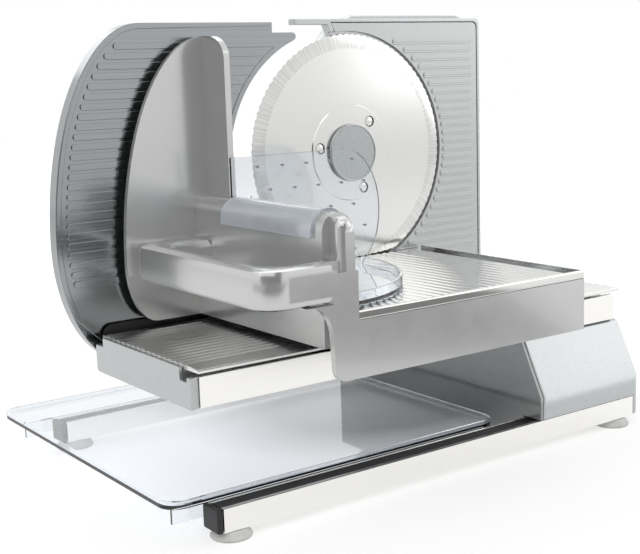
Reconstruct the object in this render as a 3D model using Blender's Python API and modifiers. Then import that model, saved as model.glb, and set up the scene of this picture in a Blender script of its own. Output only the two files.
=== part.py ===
"""A food slicer: a toothed disc blade, a sliding carriage on a beam, and a clear tray on rails.

Every place is measured from the middle of the blade. X runs along the carriage's travel, Y goes
away from the person at the machine, and Z is up. One empty stands at that point and carries the
pieces, so a moving piece sits on its own axis beneath it.
"""
from math import asin, atan2, cos, pi, radians, sin, sqrt

import bmesh
import bpy
from mathutils import Matrix

OBJECT_NAME = "food_slicer"

# Clearances shared by all pieces
GAP = 0.0003
RUN = 0.0006
OVERRUN = 0.002
SINK = 0.0004
MERGE = 0.000001

# Blade: a disc dished at its hub, ground to a strip of waves at its rim
BLADE_RADIUS = 0.085
BLADE_THICKNESS = 0.002
BLADE_RIM_THICKNESS = 0.0005
BLADE_GRIND_WIDTH = 0.008
BLADE_WAVE_DEPTH = 0.0008
BLADE_DISH_RADIUS = 0.035
BLADE_DISH_RISE = 0.0006
BLADE_HOLE_RADIUS = 0.0041
BLADE_HOLE_CIRCLE = 0.028
BLADE_HOLE_ANGLES = (51, 171, 291)
BLADE_WAVES = 96
POINTS_PER_WAVE = 4
BLADE_RING_POINTS = 64

# Blade lock: the disc that holds the blade on its spindle
LOCK_RADIUS = 0.021
LOCK_THICKNESS = 0.0022
LOCK_CHAMFER = 0.0006

# Spindle, its flange behind the blade and its two bushes
SPINDLE_RADIUS = 0.006
SPINDLE_LENGTH = 0.056
FLANGE_RADIUS = 0.017
FLANGE_THICKNESS = 0.0025
BUSH_WALL = 0.0045
FRONT_BUSH_LENGTH = 0.011
REAR_BUSH_LENGTH = 0.008

# Worm drive: wheel on the spindle, worm on the motor's shaft
WHEEL_RADIUS = 0.027
WHEEL_TOOTH_DEPTH = 0.0024
WHEEL_WIDTH = 0.011
WHEEL_FRONT = 0.030
WHEEL_HUB_RADIUS = 0.011
WHEEL_HUB_LENGTH = 0.004
WHEEL_TEETH = 32
WHEEL_TOOTH_SHARES = (0.13, 0.32)
WORM_RADIUS = 0.0052
WORM_ROOT_RADIUS = 0.0036
WORM_CREST_SHARES = (0.35, 0.65)
WORM_TURNS = 5
WORM_SHAFT_RADIUS = 0.003
WORM_BEARING_THICKNESS = 0.004
WORM_OVERHANG = 0.006
MOTOR_RADIUS = 0.024
MOTOR_LENGTH = 0.070
MOTOR_FRONT = 0.034
MOTOR_NOSE_RADIUS = 0.009
MOTOR_NOSE_LENGTH = 0.006
MOTOR_CHAMFER = 0.003
SADDLE_THICKNESS = 0.005
SADDLE_INSET = 0.010

# Housing frame: the light panel round the ribbed face plate, with a bar reaching over the blade
FRAME_BESIDE_BLADE = 0.044
FRAME_OVER_BLADE = 0.0107
FRAME_FRONT = 0.0005
FRAME_DEPTH = 0.008
FRAME_RIM = 0.0026
FRAME_LEFT = 0.0173
FRAME_HIDDEN_LEFT = 0.036
FRAME_SLANT = 0.0035
FRAME_CORNER = 0.004
BAR_REACH = 0.0454
BAR_HEIGHT = 0.0042
BLADE_WELL_CLEARANCE = 0.0025
HUB_BOSS_WALL = 0.005
FRAME_SHOULDER_TOP = 0.030
FRAME_SHOULDER_BOTTOM = 0.050

# Face plate beside the blade
FACE_THICKNESS = 0.002
FACE_CLEARANCE = 0.002
FACE_SEAM = 0.0005
FACE_CORNER = 0.004
FACE_LEFT = 0.0137
FACE_BOTTOM = 0.104
FACE_RIB_PROUD = 0.0009
FACE_RIB_WIDTH = 0.0030
FACE_RIB_CREST = 0.0012
FACE_RIB_PITCH_SHARE = 0.0741
FACE_RIB_TOP_SHARE = 0.9294
FACE_RIB_END = 0.0055
FACE_RIB_START = 0.0025
FACE_RIBS = 26

# Motor housing behind the frame
CASE_OVER_FRAME = 0.0028
CASE_RIGHT_INSET = 0.0075
CASE_BACK = 0.068
CASE_WALL = 0.0025
CASE_TOP_LEFT = 0.005
CASE_BACK_LEFT = 0.034
CASE_LEFT = 0.033
CASE_ROUNDING = 0.006

# Stop plate: sets the slice thickness, ribbed in front and hollow behind
PLATE_OVER_BLADE = 0.0085
PLATE_BOTTOM = 0.125
PLATE_LEFT = 0.2308
PLATE_NOTCH_X = 0.0626
PLATE_TIP_OVER_BLADE = 0.0015
PLATE_TIP_RADIUS = 0.0028
PLATE_UPPER_WIDTH = 0.0658
PLATE_LOWER_WIDTH = 0.0458
PLATE_WAIST = 0.045
PLATE_RIGHT = 0.045
PLATE_ARC_CLEARANCE = 0.0038
PLATE_ARC_X = 0.0117
PLATE_ARC_Z = 0.0014
PLATE_FACE = 0.0023
PLATE_DEPTH = 0.0092
PLATE_WALL = 0.0024
PLATE_RIB_PROUD = 0.0008
PLATE_RIB_WIDTH = 0.0030
PLATE_RIB_CREST = 0.0012
PLATE_RIB_PITCH_SHARE = 0.07294
PLATE_RIB_TOP_INSET = 0.0145
PLATE_RIB_OUTER_INSET = 0.008
PLATE_RIB_INNER_INSET = 0.006
PLATE_RIBS = 25

# Guide rods, yoke and adjusting screw that move the stop plate
ROD_RADIUS = 0.0035
ROD_LENGTH = 0.086
ROD_LEFT_X = 0.150
ROD_RIGHT_X = 0.066
ROD_DROP = 0.1192
ROD_BOSS_WALL = 0.0018
ROD_BUSH_WALL = 0.002
ROD_BUSH_LENGTH = 0.010
ROD_BUSH_FLANGE = 0.0015
YOKE_DEPTH = 0.008
YOKE_HEIGHT = 0.013
YOKE_OVERHANG = 0.008
YOKE_END_GAP = 0.004
SCREW_RADIUS = 0.004
SCREW_X = 0.095
SCREW_COLLAR_RADIUS = 0.007
SCREW_COLLAR_LENGTH = 0.003
KNOB_RADIUS = 0.017
KNOB_LENGTH = 0.014
KNOB_GROOVE_RADIUS = 0.0018
KNOB_GROOVES = 12
KNOB_LAND_SHARES = (0.3, 0.5, 0.7)

# Beam that carries the carriage: grooved body, front panel, end cap, ribbed deck
BEAM_LEFT = 0.2095
BEAM_RIGHT = 0.1467
BEAM_BOTTOM = 0.1275
BEAM_FRONT = 0.1223
BEAM_BACK = 0.0006
BEAM_WALL = 0.002
BEAM_BACK_WALL = 0.0021
BEAM_FRONT_WALL = 0.0027
BEAM_PANEL_THICKNESS = 0.0011
BEAM_PANEL_SETBACK = 0.0033
BEAM_CAP_THICKNESS = 0.0025
BEAM_CAP_ROUNDING = 0.003
DECK_TOP = 0.104
DECK_THICKNESS = 0.0015
DECK_FRONT = 0.1275
DECK_BACK = 0.0052
DECK_FRONT_SHELF = 0.110
DECK_BACK_SHELF = 0.010
DECK_RIB_PROUD = 0.0006
DECK_RIB_WIDTH = 0.0030
DECK_RIB_CREST = 0.0012
DECK_RIB_PITCH = 0.0067
DECK_RIB_MARGIN = 0.0035
DECK_RIBS = 17
FRONT_GROOVE_FLOOR = 0.1118
FRONT_LIP_GAP = 0.0033
BACK_GROOVE_FLOOR = 0.1097
UPSTAND_TOP = 0.098
UPSTAND_THICKNESS = 0.0016
UPSTAND_LEFT = 0.2047
UPSTAND_END_SHARE = 0.7

# Carriage: table, apron, grip, walls and the frame that hooks under the deck
CARRIAGE_FRONT = 0.167
TABLE_TOP = 0.0775
TABLE_LEFT = 0.1132
TABLE_RIGHT = 0.0648
TABLE_BACK = 0.0035
TABLE_THICKNESS = 0.0015
TABLE_LIP_RISE = 0.002
TABLE_LIP_WIDTH = 0.0016
TABLE_LIP_DROP = 0.0035
TABLE_RIB_PROUD = 0.0005
TABLE_RIB_WIDTH = 0.0030
TABLE_RIB_CREST = 0.0012
TABLE_RIB_PITCH = 0.0067
TABLE_RIB_MARGIN = 0.006
TABLE_RIBS = 25
APRON_THICKNESS = 0.004
APRON_BOTTOM = 0.115
APRON_LEFT = 0.1396
APRON_CORNER = 0.007
APRON_UPRIGHT_RIGHT = 0.1226
APRON_UPRIGHT_TOP = 0.0523
APRON_NECK_X = 0.1405
APRON_NECK_Z = 0.090
APRON_SHOULDER_X = 0.156
GRIP_REACH = 0.051
GRIP_BAR = 0.016
GRIP_RIGHT = 0.1403
GRIP_TOP = 0.0456
GRIP_BOTTOM = 0.0695
GRIP_FRONT_BAR = 0.013
GRIP_BACK = 0.0095
GRIP_BACK_BAR = 0.018
GRIP_OUTER_CORNER = 0.018
GRIP_INNER_CORNER = 0.012
GRIP_ROUNDING = 0.0055
WALL_CENTRE = 0.125
WALL_HALF_WIDTH = 0.011
WALL_TOP = 0.020
WALL_BOTTOM = 0.0985
WALL_THICKNESS = 0.0025
WALL_FRONT = 0.1515
POST_HALF_WIDTH = 0.0055
POST_TOP = 0.022
POST_TOP_RADIUS = 0.010
FIN_BACK = 0.005
FIN_THICKNESS = 0.0033
FIN_TOP = 0.084
FIN_LEFT = 0.188
FIN_RIGHT = 0.122
FIN_WAIST = 0.060
FIN_BOTTOM = 0.0987
FIN_TOP_X = 0.123
FIN_FOOT_X = 0.168
STRIP_THICKNESS = 0.0035
STRIP_FRONT = 0.036
STRIP_CORNER_DEPTH = 0.021
STRIP_CORNER_HEIGHT = 0.014
SLIDE_LEFT = 0.110
SLIDE_RIGHT = 0.062
SLIDE_PLATE = 0.0035
SLIDE_LEG = 0.0026
SLIDE_FRONT_SETBACK = 0.0006
SLIDE_FOOT_FRONT = 0.0022
SLIDE_TONGUE = 0.0022
SLIDE_BACK = 0.0018
SLIDE_FOOT_REACH = 0.0045
SLIDE_FOOT_THICKNESS = 0.0022

# Remnant holder that rides on the carriage's wall
HOLDER_WALL = 0.0018
HOLDER_FRONT = 0.143
HOLDER_PLATE = 0.0415
HOLDER_PLATE_THICKNESS = 0.002
HOLDER_SKIRT = 0.033
HOLDER_TOP = 0.0066
HOLDER_RIGHT = 0.008
HOLDER_CORNER_X = 0.030
HOLDER_CORNER_Z = 0.024
HOLDER_WAIST = 0.036
HOLDER_FOOT_X = 0.024
HOLDER_SHELF_TOP = 0.069
HOLDER_SHELF_LENGTH = 0.090
HOLDER_SHELF_DEPTH = 0.1057
HOLDER_SHELF_FLOOR = 0.002
SPIKE_LENGTH = 0.004
SPIKE_RADIUS = 0.0012
SPIKE_PITCH = 0.0192
SPIKE_ROW_PITCH = 0.0155
SPIKE_TOP_ROW = 0.0155
SPIKE_RIGHT = 0.0239
SPIKE_ROWS = 3
SPIKES_PER_ROW = 5

# Base with its side cover
BASE_LEFT = 0.0517
BASE_RIGHT = 0.152
BASE_FRONT = 0.1407
BASE_BACK = 0.091
BASE_UPRIGHT = 0.0303
BASE_SLOPE_TOP = 0.1305
BASE_SHOULDER = 0.1225
BASE_STEP = 0.107
BASE_STEP_FRONT = 0.0013
BASE_FOOT = 0.197
BASE_WALL = 0.003
BASE_ROUNDING = 0.002
COVER_THICKNESS = 0.0025
COVER_SEAM = 0.0005

# Rails, their inserts, caps and feet
RAIL_HEIGHT = 0.0145
RAIL_WIDTH = 0.0172
RAIL_LEFT = 0.2023
RAIL_RIGHT = 0.1475
RAIL_CHANNEL_WIDTH = 0.0104
RAIL_CHANNEL_DEPTH = 0.003
RAIL_CHANNEL_INSET = 0.0033
RAIL_CAP = 0.0042
RAIL_ROUNDING = 0.001
INSERT_GROOVE_WIDTH = 0.0014
INSERT_GROOVE_DEPTH = 0.0010
INSERT_GROOVES = 3
FOOT_HEIGHT = 0.0057
FOOT_RADIUS = 0.0125
FOOT_TOP_RADIUS = 0.0095
FOOT_LIP = 0.0015
FOOT_LEFT_X = 0.193
FOOT_RIGHT_X = 0.134

# Tray that lies on the rails
TRAY_LEFT = 0.2295
TRAY_RIGHT = 0.0215
TRAY_FRONT = 0.126
TRAY_BACK = 0.128
TRAY_RIM_HEIGHT = 0.0045
TRAY_WALL = 0.002
TRAY_FLOOR = 0.002
TRAY_CORNER = 0.012
TRAY_SKIRT_DEPTH = 0.0088

# Switches on the housing's right side, and the inlet for the mains lead
POWER_RADIUS = 0.012
LOCKOUT_RADIUS = 0.006
BUTTON_PROUD = 0.004
BUTTON_FLANGE = 0.0015
BUTTON_FLANGE_THICKNESS = 0.0015
BUTTON_Y = 0.036
POWER_Z = 0.020
LOCKOUT_Z = 0.048
INLET_RADIUS = 0.009
INLET_NOZZLE_RADIUS = 0.0055
INLET_BORE_RADIUS = 0.0036
INLET_LENGTH = 0.010
INLET_FLANGE = 0.003
INLET_X = 0.126
INLET_DROP_SHARE = 0.478

# Facets on round shapes
ROUND = 32
SMALL_ROUND = 16
ARC = 8
LONG_ARC = 20

# Places worked out once, because more than one piece uses them
BLADE_FRONT = -BLADE_THICKNESS / 2
BLADE_BACK = BLADE_THICKNESS / 2
RECESS_FLOOR = FACE_THICKNESS + GAP
FRAME_BACK = FRAME_DEPTH - FRAME_FRONT
WORM_DROP = WHEEL_RADIUS + WORM_RADIUS + GAP
WORM_PITCH = pi * (WHEEL_RADIUS * 2 - WHEEL_TOOTH_DEPTH) / WHEEL_TEETH
WORM_Y = WHEEL_FRONT + WHEEL_WIDTH / 2
SPINDLE_END = BLADE_BACK + SPINDLE_LENGTH
FRAME_RIGHT = BLADE_RADIUS + FRAME_BESIDE_BLADE
FRAME_TOP = BLADE_RADIUS + FRAME_OVER_BLADE
FACE_RIB_TOP = BLADE_RADIUS * FACE_RIB_TOP_SHARE
FACE_RIB_PITCH = BLADE_RADIUS * FACE_RIB_PITCH_SHARE
CASE_TOP = FRAME_TOP + CASE_OVER_FRAME
CASE_RIGHT = FRAME_RIGHT - CASE_RIGHT_INSET
PLATE_ARC_RADIUS = BLADE_RADIUS + PLATE_ARC_CLEARANCE
PLATE_TOP = BLADE_RADIUS + PLATE_OVER_BLADE
PLATE_TIP_TOP = BLADE_RADIUS + PLATE_TIP_OVER_BLADE
PLATE_RIB_TOP = PLATE_TOP - PLATE_RIB_TOP_INSET
PLATE_RIB_PITCH = BLADE_RADIUS * PLATE_RIB_PITCH_SHARE
BODY_FRONT = BEAM_FRONT - BEAM_PANEL_THICKNESS - GAP
BODY_LEFT = BEAM_LEFT - BEAM_CAP_THICKNESS - GAP
DECK_UNDERSIDE = DECK_TOP + DECK_THICKNESS
SHELF_TOP = DECK_UNDERSIDE + GAP
FRONT_WALL_TOP = DECK_UNDERSIDE + FRONT_LIP_GAP
APRON_BACK = CARRIAGE_FRONT - APRON_THICKNESS
TABLE_UNDERSIDE = TABLE_TOP + TABLE_THICKNESS
BASE_TOP = BEAM_BOTTOM + GAP
CASE_BOTTOM = BASE_STEP - GAP
RAIL_BOTTOM = BASE_FOOT
RAIL_TOP = BASE_FOOT - RAIL_HEIGHT
BASE_KNEE = BASE_FOOT - BASE_UPRIGHT
INLET_Z = BASE_STEP + (BASE_FOOT - BASE_STEP) * INLET_DROP_SHARE
GRIP_OUTER = WALL_CENTRE + WALL_HALF_WIDTH + GRIP_REACH
GRIP_INNER = GRIP_OUTER - GRIP_BAR
FLOOR = RAIL_BOTTOM + GAP + FOOT_HEIGHT
ROD_TIP = PLATE_FACE + PLATE_DEPTH - OVERRUN / 2
ROD_FRONT = ROD_TIP - ROD_LENGTH
YOKE_FRONT = ROD_FRONT + YOKE_END_GAP

AXIS_X = (PLATE_LEFT - BASE_RIGHT) / 2
AXIS_Y = (CARRIAGE_FRONT - TRAY_BACK) / 2

# Turns a flat outline so that its face looks along the named axis
FACING = {
    "X": Matrix(((0, 0, 1, 0), (1, 0, 0, 0), (0, 1, 0, 0), (0, 0, 0, 1))),
    "Y": Matrix(((1, 0, 0, 0), (0, 0, -1, 0), (0, 1, 0, 0), (0, 0, 0, 1))),
    "Z": Matrix.Identity(4),
}

# Colour, roughness and metallic value of each finish
FINISHES = {
    "polished steel": ((0.72, 0.72, 0.72, 1.0), 0.22, 1.0),
    "brushed steel": ((0.62, 0.62, 0.61, 1.0), 0.35, 1.0),
    "silver paint": ((0.56, 0.57, 0.57, 1.0), 0.40, 0.3),
    "grey enamel": ((0.36, 0.37, 0.38, 1.0), 0.45, 0.1),
    "light grey plastic": ((0.50, 0.50, 0.50, 1.0), 0.30, 0.0),
    "warm grey plastic": ((0.42, 0.42, 0.41, 1.0), 0.50, 0.0),
    "dark gloss plastic": ((0.06, 0.065, 0.07, 1.0), 0.15, 0.0),
    "black plastic": ((0.02, 0.02, 0.02, 1.0), 0.50, 0.0),
    "white rubber": ((0.80, 0.80, 0.79, 1.0), 0.70, 0.0),
    "clear plastic": ((0.85, 0.88, 0.92, 0.35), 0.08, 0.0),
    "bronze": ((0.50, 0.36, 0.20, 1.0), 0.40, 1.0),
    "nylon": ((0.75, 0.73, 0.66, 1.0), 0.50, 0.0),
}


def clear_scene():
    """Remove whatever the file holds."""
    for item in list(bpy.data.objects):
        bpy.data.objects.remove(item, do_unlink=True)


def collection(name):
    """A collection under the scene's own."""
    group = bpy.data.collections.new(name)
    bpy.context.scene.collection.children.link(group)
    return group


def material(part_name, finish):
    """A Principled material for one sub-part."""
    colour, roughness, metallic = FINISHES[finish]
    made = bpy.data.materials.new(f"{finish} {part_name}")
    made.use_nodes = True
    shader = made.node_tree.nodes["Principled BSDF"]
    shader.inputs["Base Color"].default_value = colour
    shader.inputs["Alpha"].default_value = colour[3]
    shader.inputs["Roughness"].default_value = roughness
    shader.inputs["Metallic"].default_value = metallic
    made.diffuse_color = colour
    return made


def place(name, mesh, location=(0, 0, 0), finish=None):
    """Put a mesh under the blade's centre, as a part, or as a cutter when it has no finish."""
    item = bpy.data.objects.new(name, mesh)
    item.parent = CENTRE
    item.location = location
    if finish is None:
        CUTTERS.objects.link(item)
        item.hide_render = True
        item.display_type = "WIRE"
    else:
        PARTS.objects.link(item)
        mesh.materials.clear()
        mesh.materials.append(material(name, finish))
    return item


def mesh_from(name, work):
    """Write a bmesh into new mesh data."""
    mesh = bpy.data.meshes.new(name)
    work.to_mesh(mesh)
    work.free()
    return mesh


def block(name, x, y, z, finish=None):
    """A box between three pairs of limits."""
    work = bmesh.new()
    bmesh.ops.create_cube(work, size=1)
    size = (x[1] - x[0], y[1] - y[0], z[1] - z[0])
    bmesh.ops.scale(work, vec=size, verts=work.verts)
    middle = ((x[0] + x[1]) / 2, (y[0] + y[1]) / 2, (z[0] + z[1]) / 2)
    return place(name, mesh_from(name, work), middle, finish)


def without_repeats(outline):
    """An outline whose neighbouring points all differ, the last from the first too."""
    kept = []
    for point, before in zip(outline, outline[-1:] + outline[:-1]):
        if abs(point[0] - before[0]) + abs(point[1] - before[1]) > MERGE:
            kept.append(point)
    return kept


def sheet(name, outlines, facing, low, high, finish=None, rounding=0):
    """A flat outline, with any holes, given thickness between two places along one axis."""
    data = bpy.data.curves.new(name, "CURVE")
    data.dimensions = "2D"
    data.fill_mode = "BOTH"
    data.extrude = (high - low) / 2 - rounding
    if rounding:
        data.bevel_depth = rounding
        data.offset = -rounding
        data.bevel_resolution = 1
    for outline in map(without_repeats, outlines):
        spline = data.splines.new("POLY")
        spline.points.add(len(outline) - 1)
        for point, (across, up) in zip(spline.points, outline):
            point.co = (across, up, 0, 1)
        spline.use_cyclic_u = True
    drawn = bpy.data.objects.new(name + " outline", data)
    bpy.context.scene.collection.objects.link(drawn)
    graph = bpy.context.evaluated_depsgraph_get()
    mesh = bpy.data.meshes.new_from_object(drawn.evaluated_get(graph))
    bpy.data.objects.remove(drawn, do_unlink=True)
    bpy.data.curves.remove(data)
    mesh.name = name
    work = bmesh.new()
    work.from_mesh(mesh)
    bmesh.ops.remove_doubles(work, verts=work.verts, dist=MERGE)
    bmesh.ops.transform(work, matrix=FACING[facing], verts=work.verts)
    work.to_mesh(mesh)
    work.free()
    middle = (low + high) / 2
    location = {"X": (middle, 0, 0), "Y": (0, middle, 0), "Z": (0, 0, middle)}[facing]
    return place(name, mesh, location, finish)


def turned(name, profile, location, facing, finish=None, steps=ROUND):
    """A profile of (radius, place along the axis), from the far end to the near end, turned."""
    work = bmesh.new()
    closed = profile[0][0] > 0
    points = [work.verts.new((radius, 0, along)) for radius, along in profile]
    for first, second in zip(points, points[1:]):
        work.edges.new((first, second))
    if closed:
        work.edges.new((points[-1], points[0]))
    turn = {
        "X": Matrix.Rotation(pi / 2, 4, "Y"),
        "Y": Matrix.Rotation(-pi / 2, 4, "X"),
        "Z": Matrix.Identity(4),
    }[facing]
    item = place(name, mesh_from(name, work), location, finish)
    item.rotation_euler = turn.to_euler()
    screw = item.modifiers.new("turn", "SCREW")
    screw.steps = steps
    screw.render_steps = steps
    screw.use_merge_vertices = True
    screw.merge_threshold = MERGE
    screw.use_smooth_shade = True
    return item


def rod(name, facing, low, high, across, radius, finish=None, steps=ROUND):
    """A plain round bar along one axis; across gives its place in the other two."""
    work = bmesh.new()
    bmesh.ops.create_cone(
        work, cap_ends=True, segments=steps, radius1=radius, radius2=radius, depth=high - low
    )
    bmesh.ops.transform(work, matrix=FACING[facing], verts=work.verts)
    middle = (low + high) / 2
    first, second = across
    location = {
        "X": (middle, first, second),
        "Y": (first, middle, second),
        "Z": (first, second, middle),
    }[facing]
    return place(name, mesh_from(name, work), location, finish)


def combine(item, other, operation):
    """Cut another shape out of a piece, or fuse it on."""
    step = item.modifiers.new(other.name, "BOOLEAN")
    step.operation = operation
    step.solver = "EXACT"
    step.object = other
    if other.name in PARTS.objects:
        PARTS.objects.unlink(other)
        CUTTERS.objects.link(other)


def cut(item, *others):
    """Take shapes away from a piece."""
    for other in others:
        combine(item, other, "DIFFERENCE")


def fuse(item, *others):
    """Add shapes to a piece."""
    for other in others:
        combine(item, other, "UNION")


def rounded(item, width, segments=2, angle=40):
    """Round the edges that are sharper than an angle."""
    bevel = item.modifiers.new("rounded edges", "BEVEL")
    bevel.width = width
    bevel.segments = segments
    bevel.limit_method = "ANGLE"
    bevel.angle_limit = radians(angle)
    return bevel


def smooth(item, angle=35):
    """Shade round faces smooth and keep true edges sharp."""
    item.data.shade_smooth()
    item.data.set_sharp_from_angle(angle=radians(angle))


def flat_caps(item):
    """Join the small triangles of a filled outline into whole faces, so its edges can be rounded."""
    work = bmesh.new()
    work.from_mesh(item.data)
    bmesh.ops.dissolve_limit(
        work, angle_limit=radians(0.1), verts=work.verts, edges=work.edges
    )
    work.to_mesh(item.data)
    work.free()


def arc(centre, radii, start, end, steps):
    """Points on an ellipse's arc, from one angle to another in degrees."""
    across, up = radii
    points = []
    for step in range(steps + 1):
        angle = radians(start + (end - start) * step / steps)
        points.append((centre[0] + across * cos(angle), centre[1] + up * sin(angle)))
    return points


def circle(centre, radius, steps=ROUND):
    """A closed round outline."""
    return arc(centre, (radius, radius), 0, 360 - 360 / steps, steps - 1)


def round_box(low, high, radius, steps=ARC):
    """A rectangle with round corners, anticlockwise."""
    corner = (radius, radius)
    points = arc((high[0] - radius, low[1] + radius), corner, -90, 0, steps)
    points += arc((high[0] - radius, high[1] - radius), corner, 0, 90, steps)
    points += arc((low[0] + radius, high[1] - radius), corner, 90, 180, steps)
    points += arc((low[0] + radius, low[1] + radius), corner, 180, 270, steps)
    return points


def rib_bars(name, rows, face, proud, width, crest):
    """Raised bars along X on a face that looks to the front, one for each (left, right, height)."""
    work = bmesh.new()
    for left, right, height in rows:
        made = bmesh.ops.create_cube(work, size=1)["verts"]
        for vert in made:
            front = vert.co.y < 0
            rise = crest if front else width
            slope = (width - crest) / 2 if front else 0
            end = left + slope if vert.co.x < 0 else right - slope
            vert.co = (end, -proud if front else SINK, height + rise * vert.co.z)
    return place(name, mesh_from(name, work), (0, face, 0))


def ribbed_edge(start, pitch, count, width, crest, level, proud):
    """Points of a ribbed surface seen end on, from low to high."""
    points = []
    for rib in range(count):
        middle = start + pitch * rib
        points.append((middle - width / 2, level))
        points.append((middle - crest / 2, level + proud))
        points.append((middle + crest / 2, level + proud))
        points.append((middle + width / 2, level))
    return points


def wave_outline():
    """The blade's rim: a circle whose reach dips between the crests of its waves."""
    count = BLADE_WAVES * POINTS_PER_WAVE
    points = []
    for step in range(count):
        angle = radians(360 * step / count)
        reach = BLADE_RADIUS - BLADE_WAVE_DEPTH * (1 - cos(BLADE_WAVES * angle)) / 2
        points.append((reach * cos(angle), reach * sin(angle)))
    return points


def blade():
    """The disc: a waved outline, dished at the hub and ground to an edge along its front."""
    dish = BLADE_FRONT - BLADE_DISH_RISE
    outlines = [wave_outline(), circle((0, 0), SPINDLE_RADIUS + GAP)]
    for angle in BLADE_HOLE_ANGLES:
        centre = (BLADE_HOLE_CIRCLE * cos(radians(angle)), BLADE_HOLE_CIRCLE * sin(radians(angle)))
        outlines.append(circle(centre, BLADE_HOLE_RADIUS, SMALL_ROUND))
    disc = sheet("blade", outlines, "Y", dish, BLADE_BACK, "polished steel")
    grind = BLADE_RADIUS - BLADE_GRIND_WIDTH
    rim_front = BLADE_BACK - BLADE_RIM_THICKNESS
    slope = (rim_front - BLADE_FRONT) / BLADE_GRIND_WIDTH
    wheel = [
        (BLADE_RADIUS + OVERRUN, rim_front + slope * OVERRUN),
        (BLADE_RADIUS + OVERRUN, dish - OVERRUN),
        (BLADE_DISH_RADIUS - BLADE_DISH_RISE, dish - OVERRUN),
        (BLADE_DISH_RADIUS - BLADE_DISH_RISE, dish),
        (BLADE_DISH_RADIUS, BLADE_FRONT),
        (grind, BLADE_FRONT),
    ]
    cut(disc, turned("blade grind", wheel, (0, 0, 0), "Y", None, BLADE_RING_POINTS))
    smooth(disc)


def blade_lock():
    """The disc in front of the blade, with a chamfered edge."""
    back = BLADE_FRONT - BLADE_DISH_RISE - GAP
    front = back - LOCK_THICKNESS
    profile = [
        (0, back),
        (LOCK_RADIUS, back),
        (LOCK_RADIUS, front + LOCK_CHAMFER),
        (LOCK_RADIUS - LOCK_CHAMFER, front),
        (0, front),
    ]
    turned("blade_lock", profile, (0, 0, 0), "Y", "silver paint")


def spindle():
    """The shaft: a nose in the blade's bore, a flange behind the blade, a long journal."""
    nose = BLADE_FRONT - BLADE_DISH_RISE
    flange = BLADE_BACK + GAP
    profile = [
        (0, SPINDLE_END),
        (SPINDLE_RADIUS, SPINDLE_END),
        (SPINDLE_RADIUS, flange + FLANGE_THICKNESS),
        (FLANGE_RADIUS, flange + FLANGE_THICKNESS),
        (FLANGE_RADIUS, flange),
        (SPINDLE_RADIUS, flange),
        (SPINDLE_RADIUS, nose),
        (0, nose),
    ]
    turned("blade_spindle", profile, (0, 0, 0), "Y", "brushed steel")


def bush(name, inner, outer, front, back, location, finish="bronze"):
    """A plain ring on an axis along Y."""
    profile = [(outer, back), (outer, front), (inner, front), (inner, back)]
    return turned(name, profile, location, "Y", finish, SMALL_ROUND + ARC)


def front_bush_place():
    """Front and back of the front bush, behind the spindle's flange."""
    front = BLADE_BACK + GAP + FLANGE_THICKNESS + RUN
    return front, front + FRONT_BUSH_LENGTH


def spindle_bushes():
    """The two bushes that carry the spindle."""
    outer = SPINDLE_RADIUS + GAP + BUSH_WALL
    front, back = front_bush_place()
    bush("front_spindle_bush", SPINDLE_RADIUS + GAP, outer, front, back, (0, 0, 0))
    start = SPINDLE_END - REAR_BUSH_LENGTH
    bush("rear_spindle_bush", SPINDLE_RADIUS + GAP, outer, start, SPINDLE_END, (0, 0, 0))


def worm_wheel():
    """The toothed wheel on the spindle, with a hub on its front."""
    root = WHEEL_RADIUS - WHEEL_TOOTH_DEPTH
    step = 360 / WHEEL_TEETH
    crest, foot = WHEEL_TOOTH_SHARES
    tooth_shares = ((-foot, root), (-crest, WHEEL_RADIUS), (crest, WHEEL_RADIUS), (foot, root))
    outline = []
    for tooth in range(WHEEL_TEETH):
        for turn_share, radius in tooth_shares:
            angle = radians(step * (tooth + turn_share))
            outline.append((radius * cos(angle), radius * sin(angle)))
    bore = circle((0, 0), SPINDLE_RADIUS + GAP)
    wheel = sheet("drive_gear", [outline, bore], "Y", WHEEL_FRONT, WHEEL_FRONT + WHEEL_WIDTH, "nylon")
    hub_front = WHEEL_FRONT - WHEEL_HUB_LENGTH
    inner = SPINDLE_RADIUS + GAP
    hub = bush("drive gear hub", inner, WHEEL_HUB_RADIUS, hub_front, WORM_Y, (0, 0, 0), None)
    fuse(wheel, hub)


def worm():
    """The motor's shaft with its worm, turned as rings, ending in a bearing rib."""
    left = -WORM_PITCH * WORM_TURNS / 2
    profile = [(0, MOTOR_FRONT - GAP), (WORM_SHAFT_RADIUS, MOTOR_FRONT - GAP)]
    for ring in range(WORM_TURNS, 0, -1):
        start = left + WORM_PITCH * ring
        profile.append((WORM_ROOT_RADIUS, start))
        for share in WORM_CREST_SHARES:
            profile.append((WORM_RADIUS, start - WORM_PITCH * share))
    profile.append((WORM_ROOT_RADIUS, left))
    end = left - WORM_OVERHANG - WORM_BEARING_THICKNESS
    profile.append((WORM_SHAFT_RADIUS, left - WORM_OVERHANG / 2))
    profile.append((WORM_SHAFT_RADIUS, end))
    profile.append((0, end))
    turned("worm_shaft", profile, (0, WORM_Y, -WORM_DROP), "X", "brushed steel", SMALL_ROUND)


def motor():
    """The motor's can with a nose round its shaft."""
    back = MOTOR_FRONT + MOTOR_LENGTH
    nose = MOTOR_FRONT + MOTOR_NOSE_LENGTH
    profile = [
        (0, back),
        (MOTOR_RADIUS - MOTOR_CHAMFER, back),
        (MOTOR_RADIUS, back - MOTOR_CHAMFER),
        (MOTOR_RADIUS, nose + MOTOR_CHAMFER),
        (MOTOR_RADIUS - MOTOR_CHAMFER, nose),
        (MOTOR_NOSE_RADIUS, nose),
        (MOTOR_NOSE_RADIUS, MOTOR_FRONT),
        (0, MOTOR_FRONT),
    ]
    turned("motor", profile, (0, WORM_Y, -WORM_DROP), "X", "brushed steel")


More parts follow.
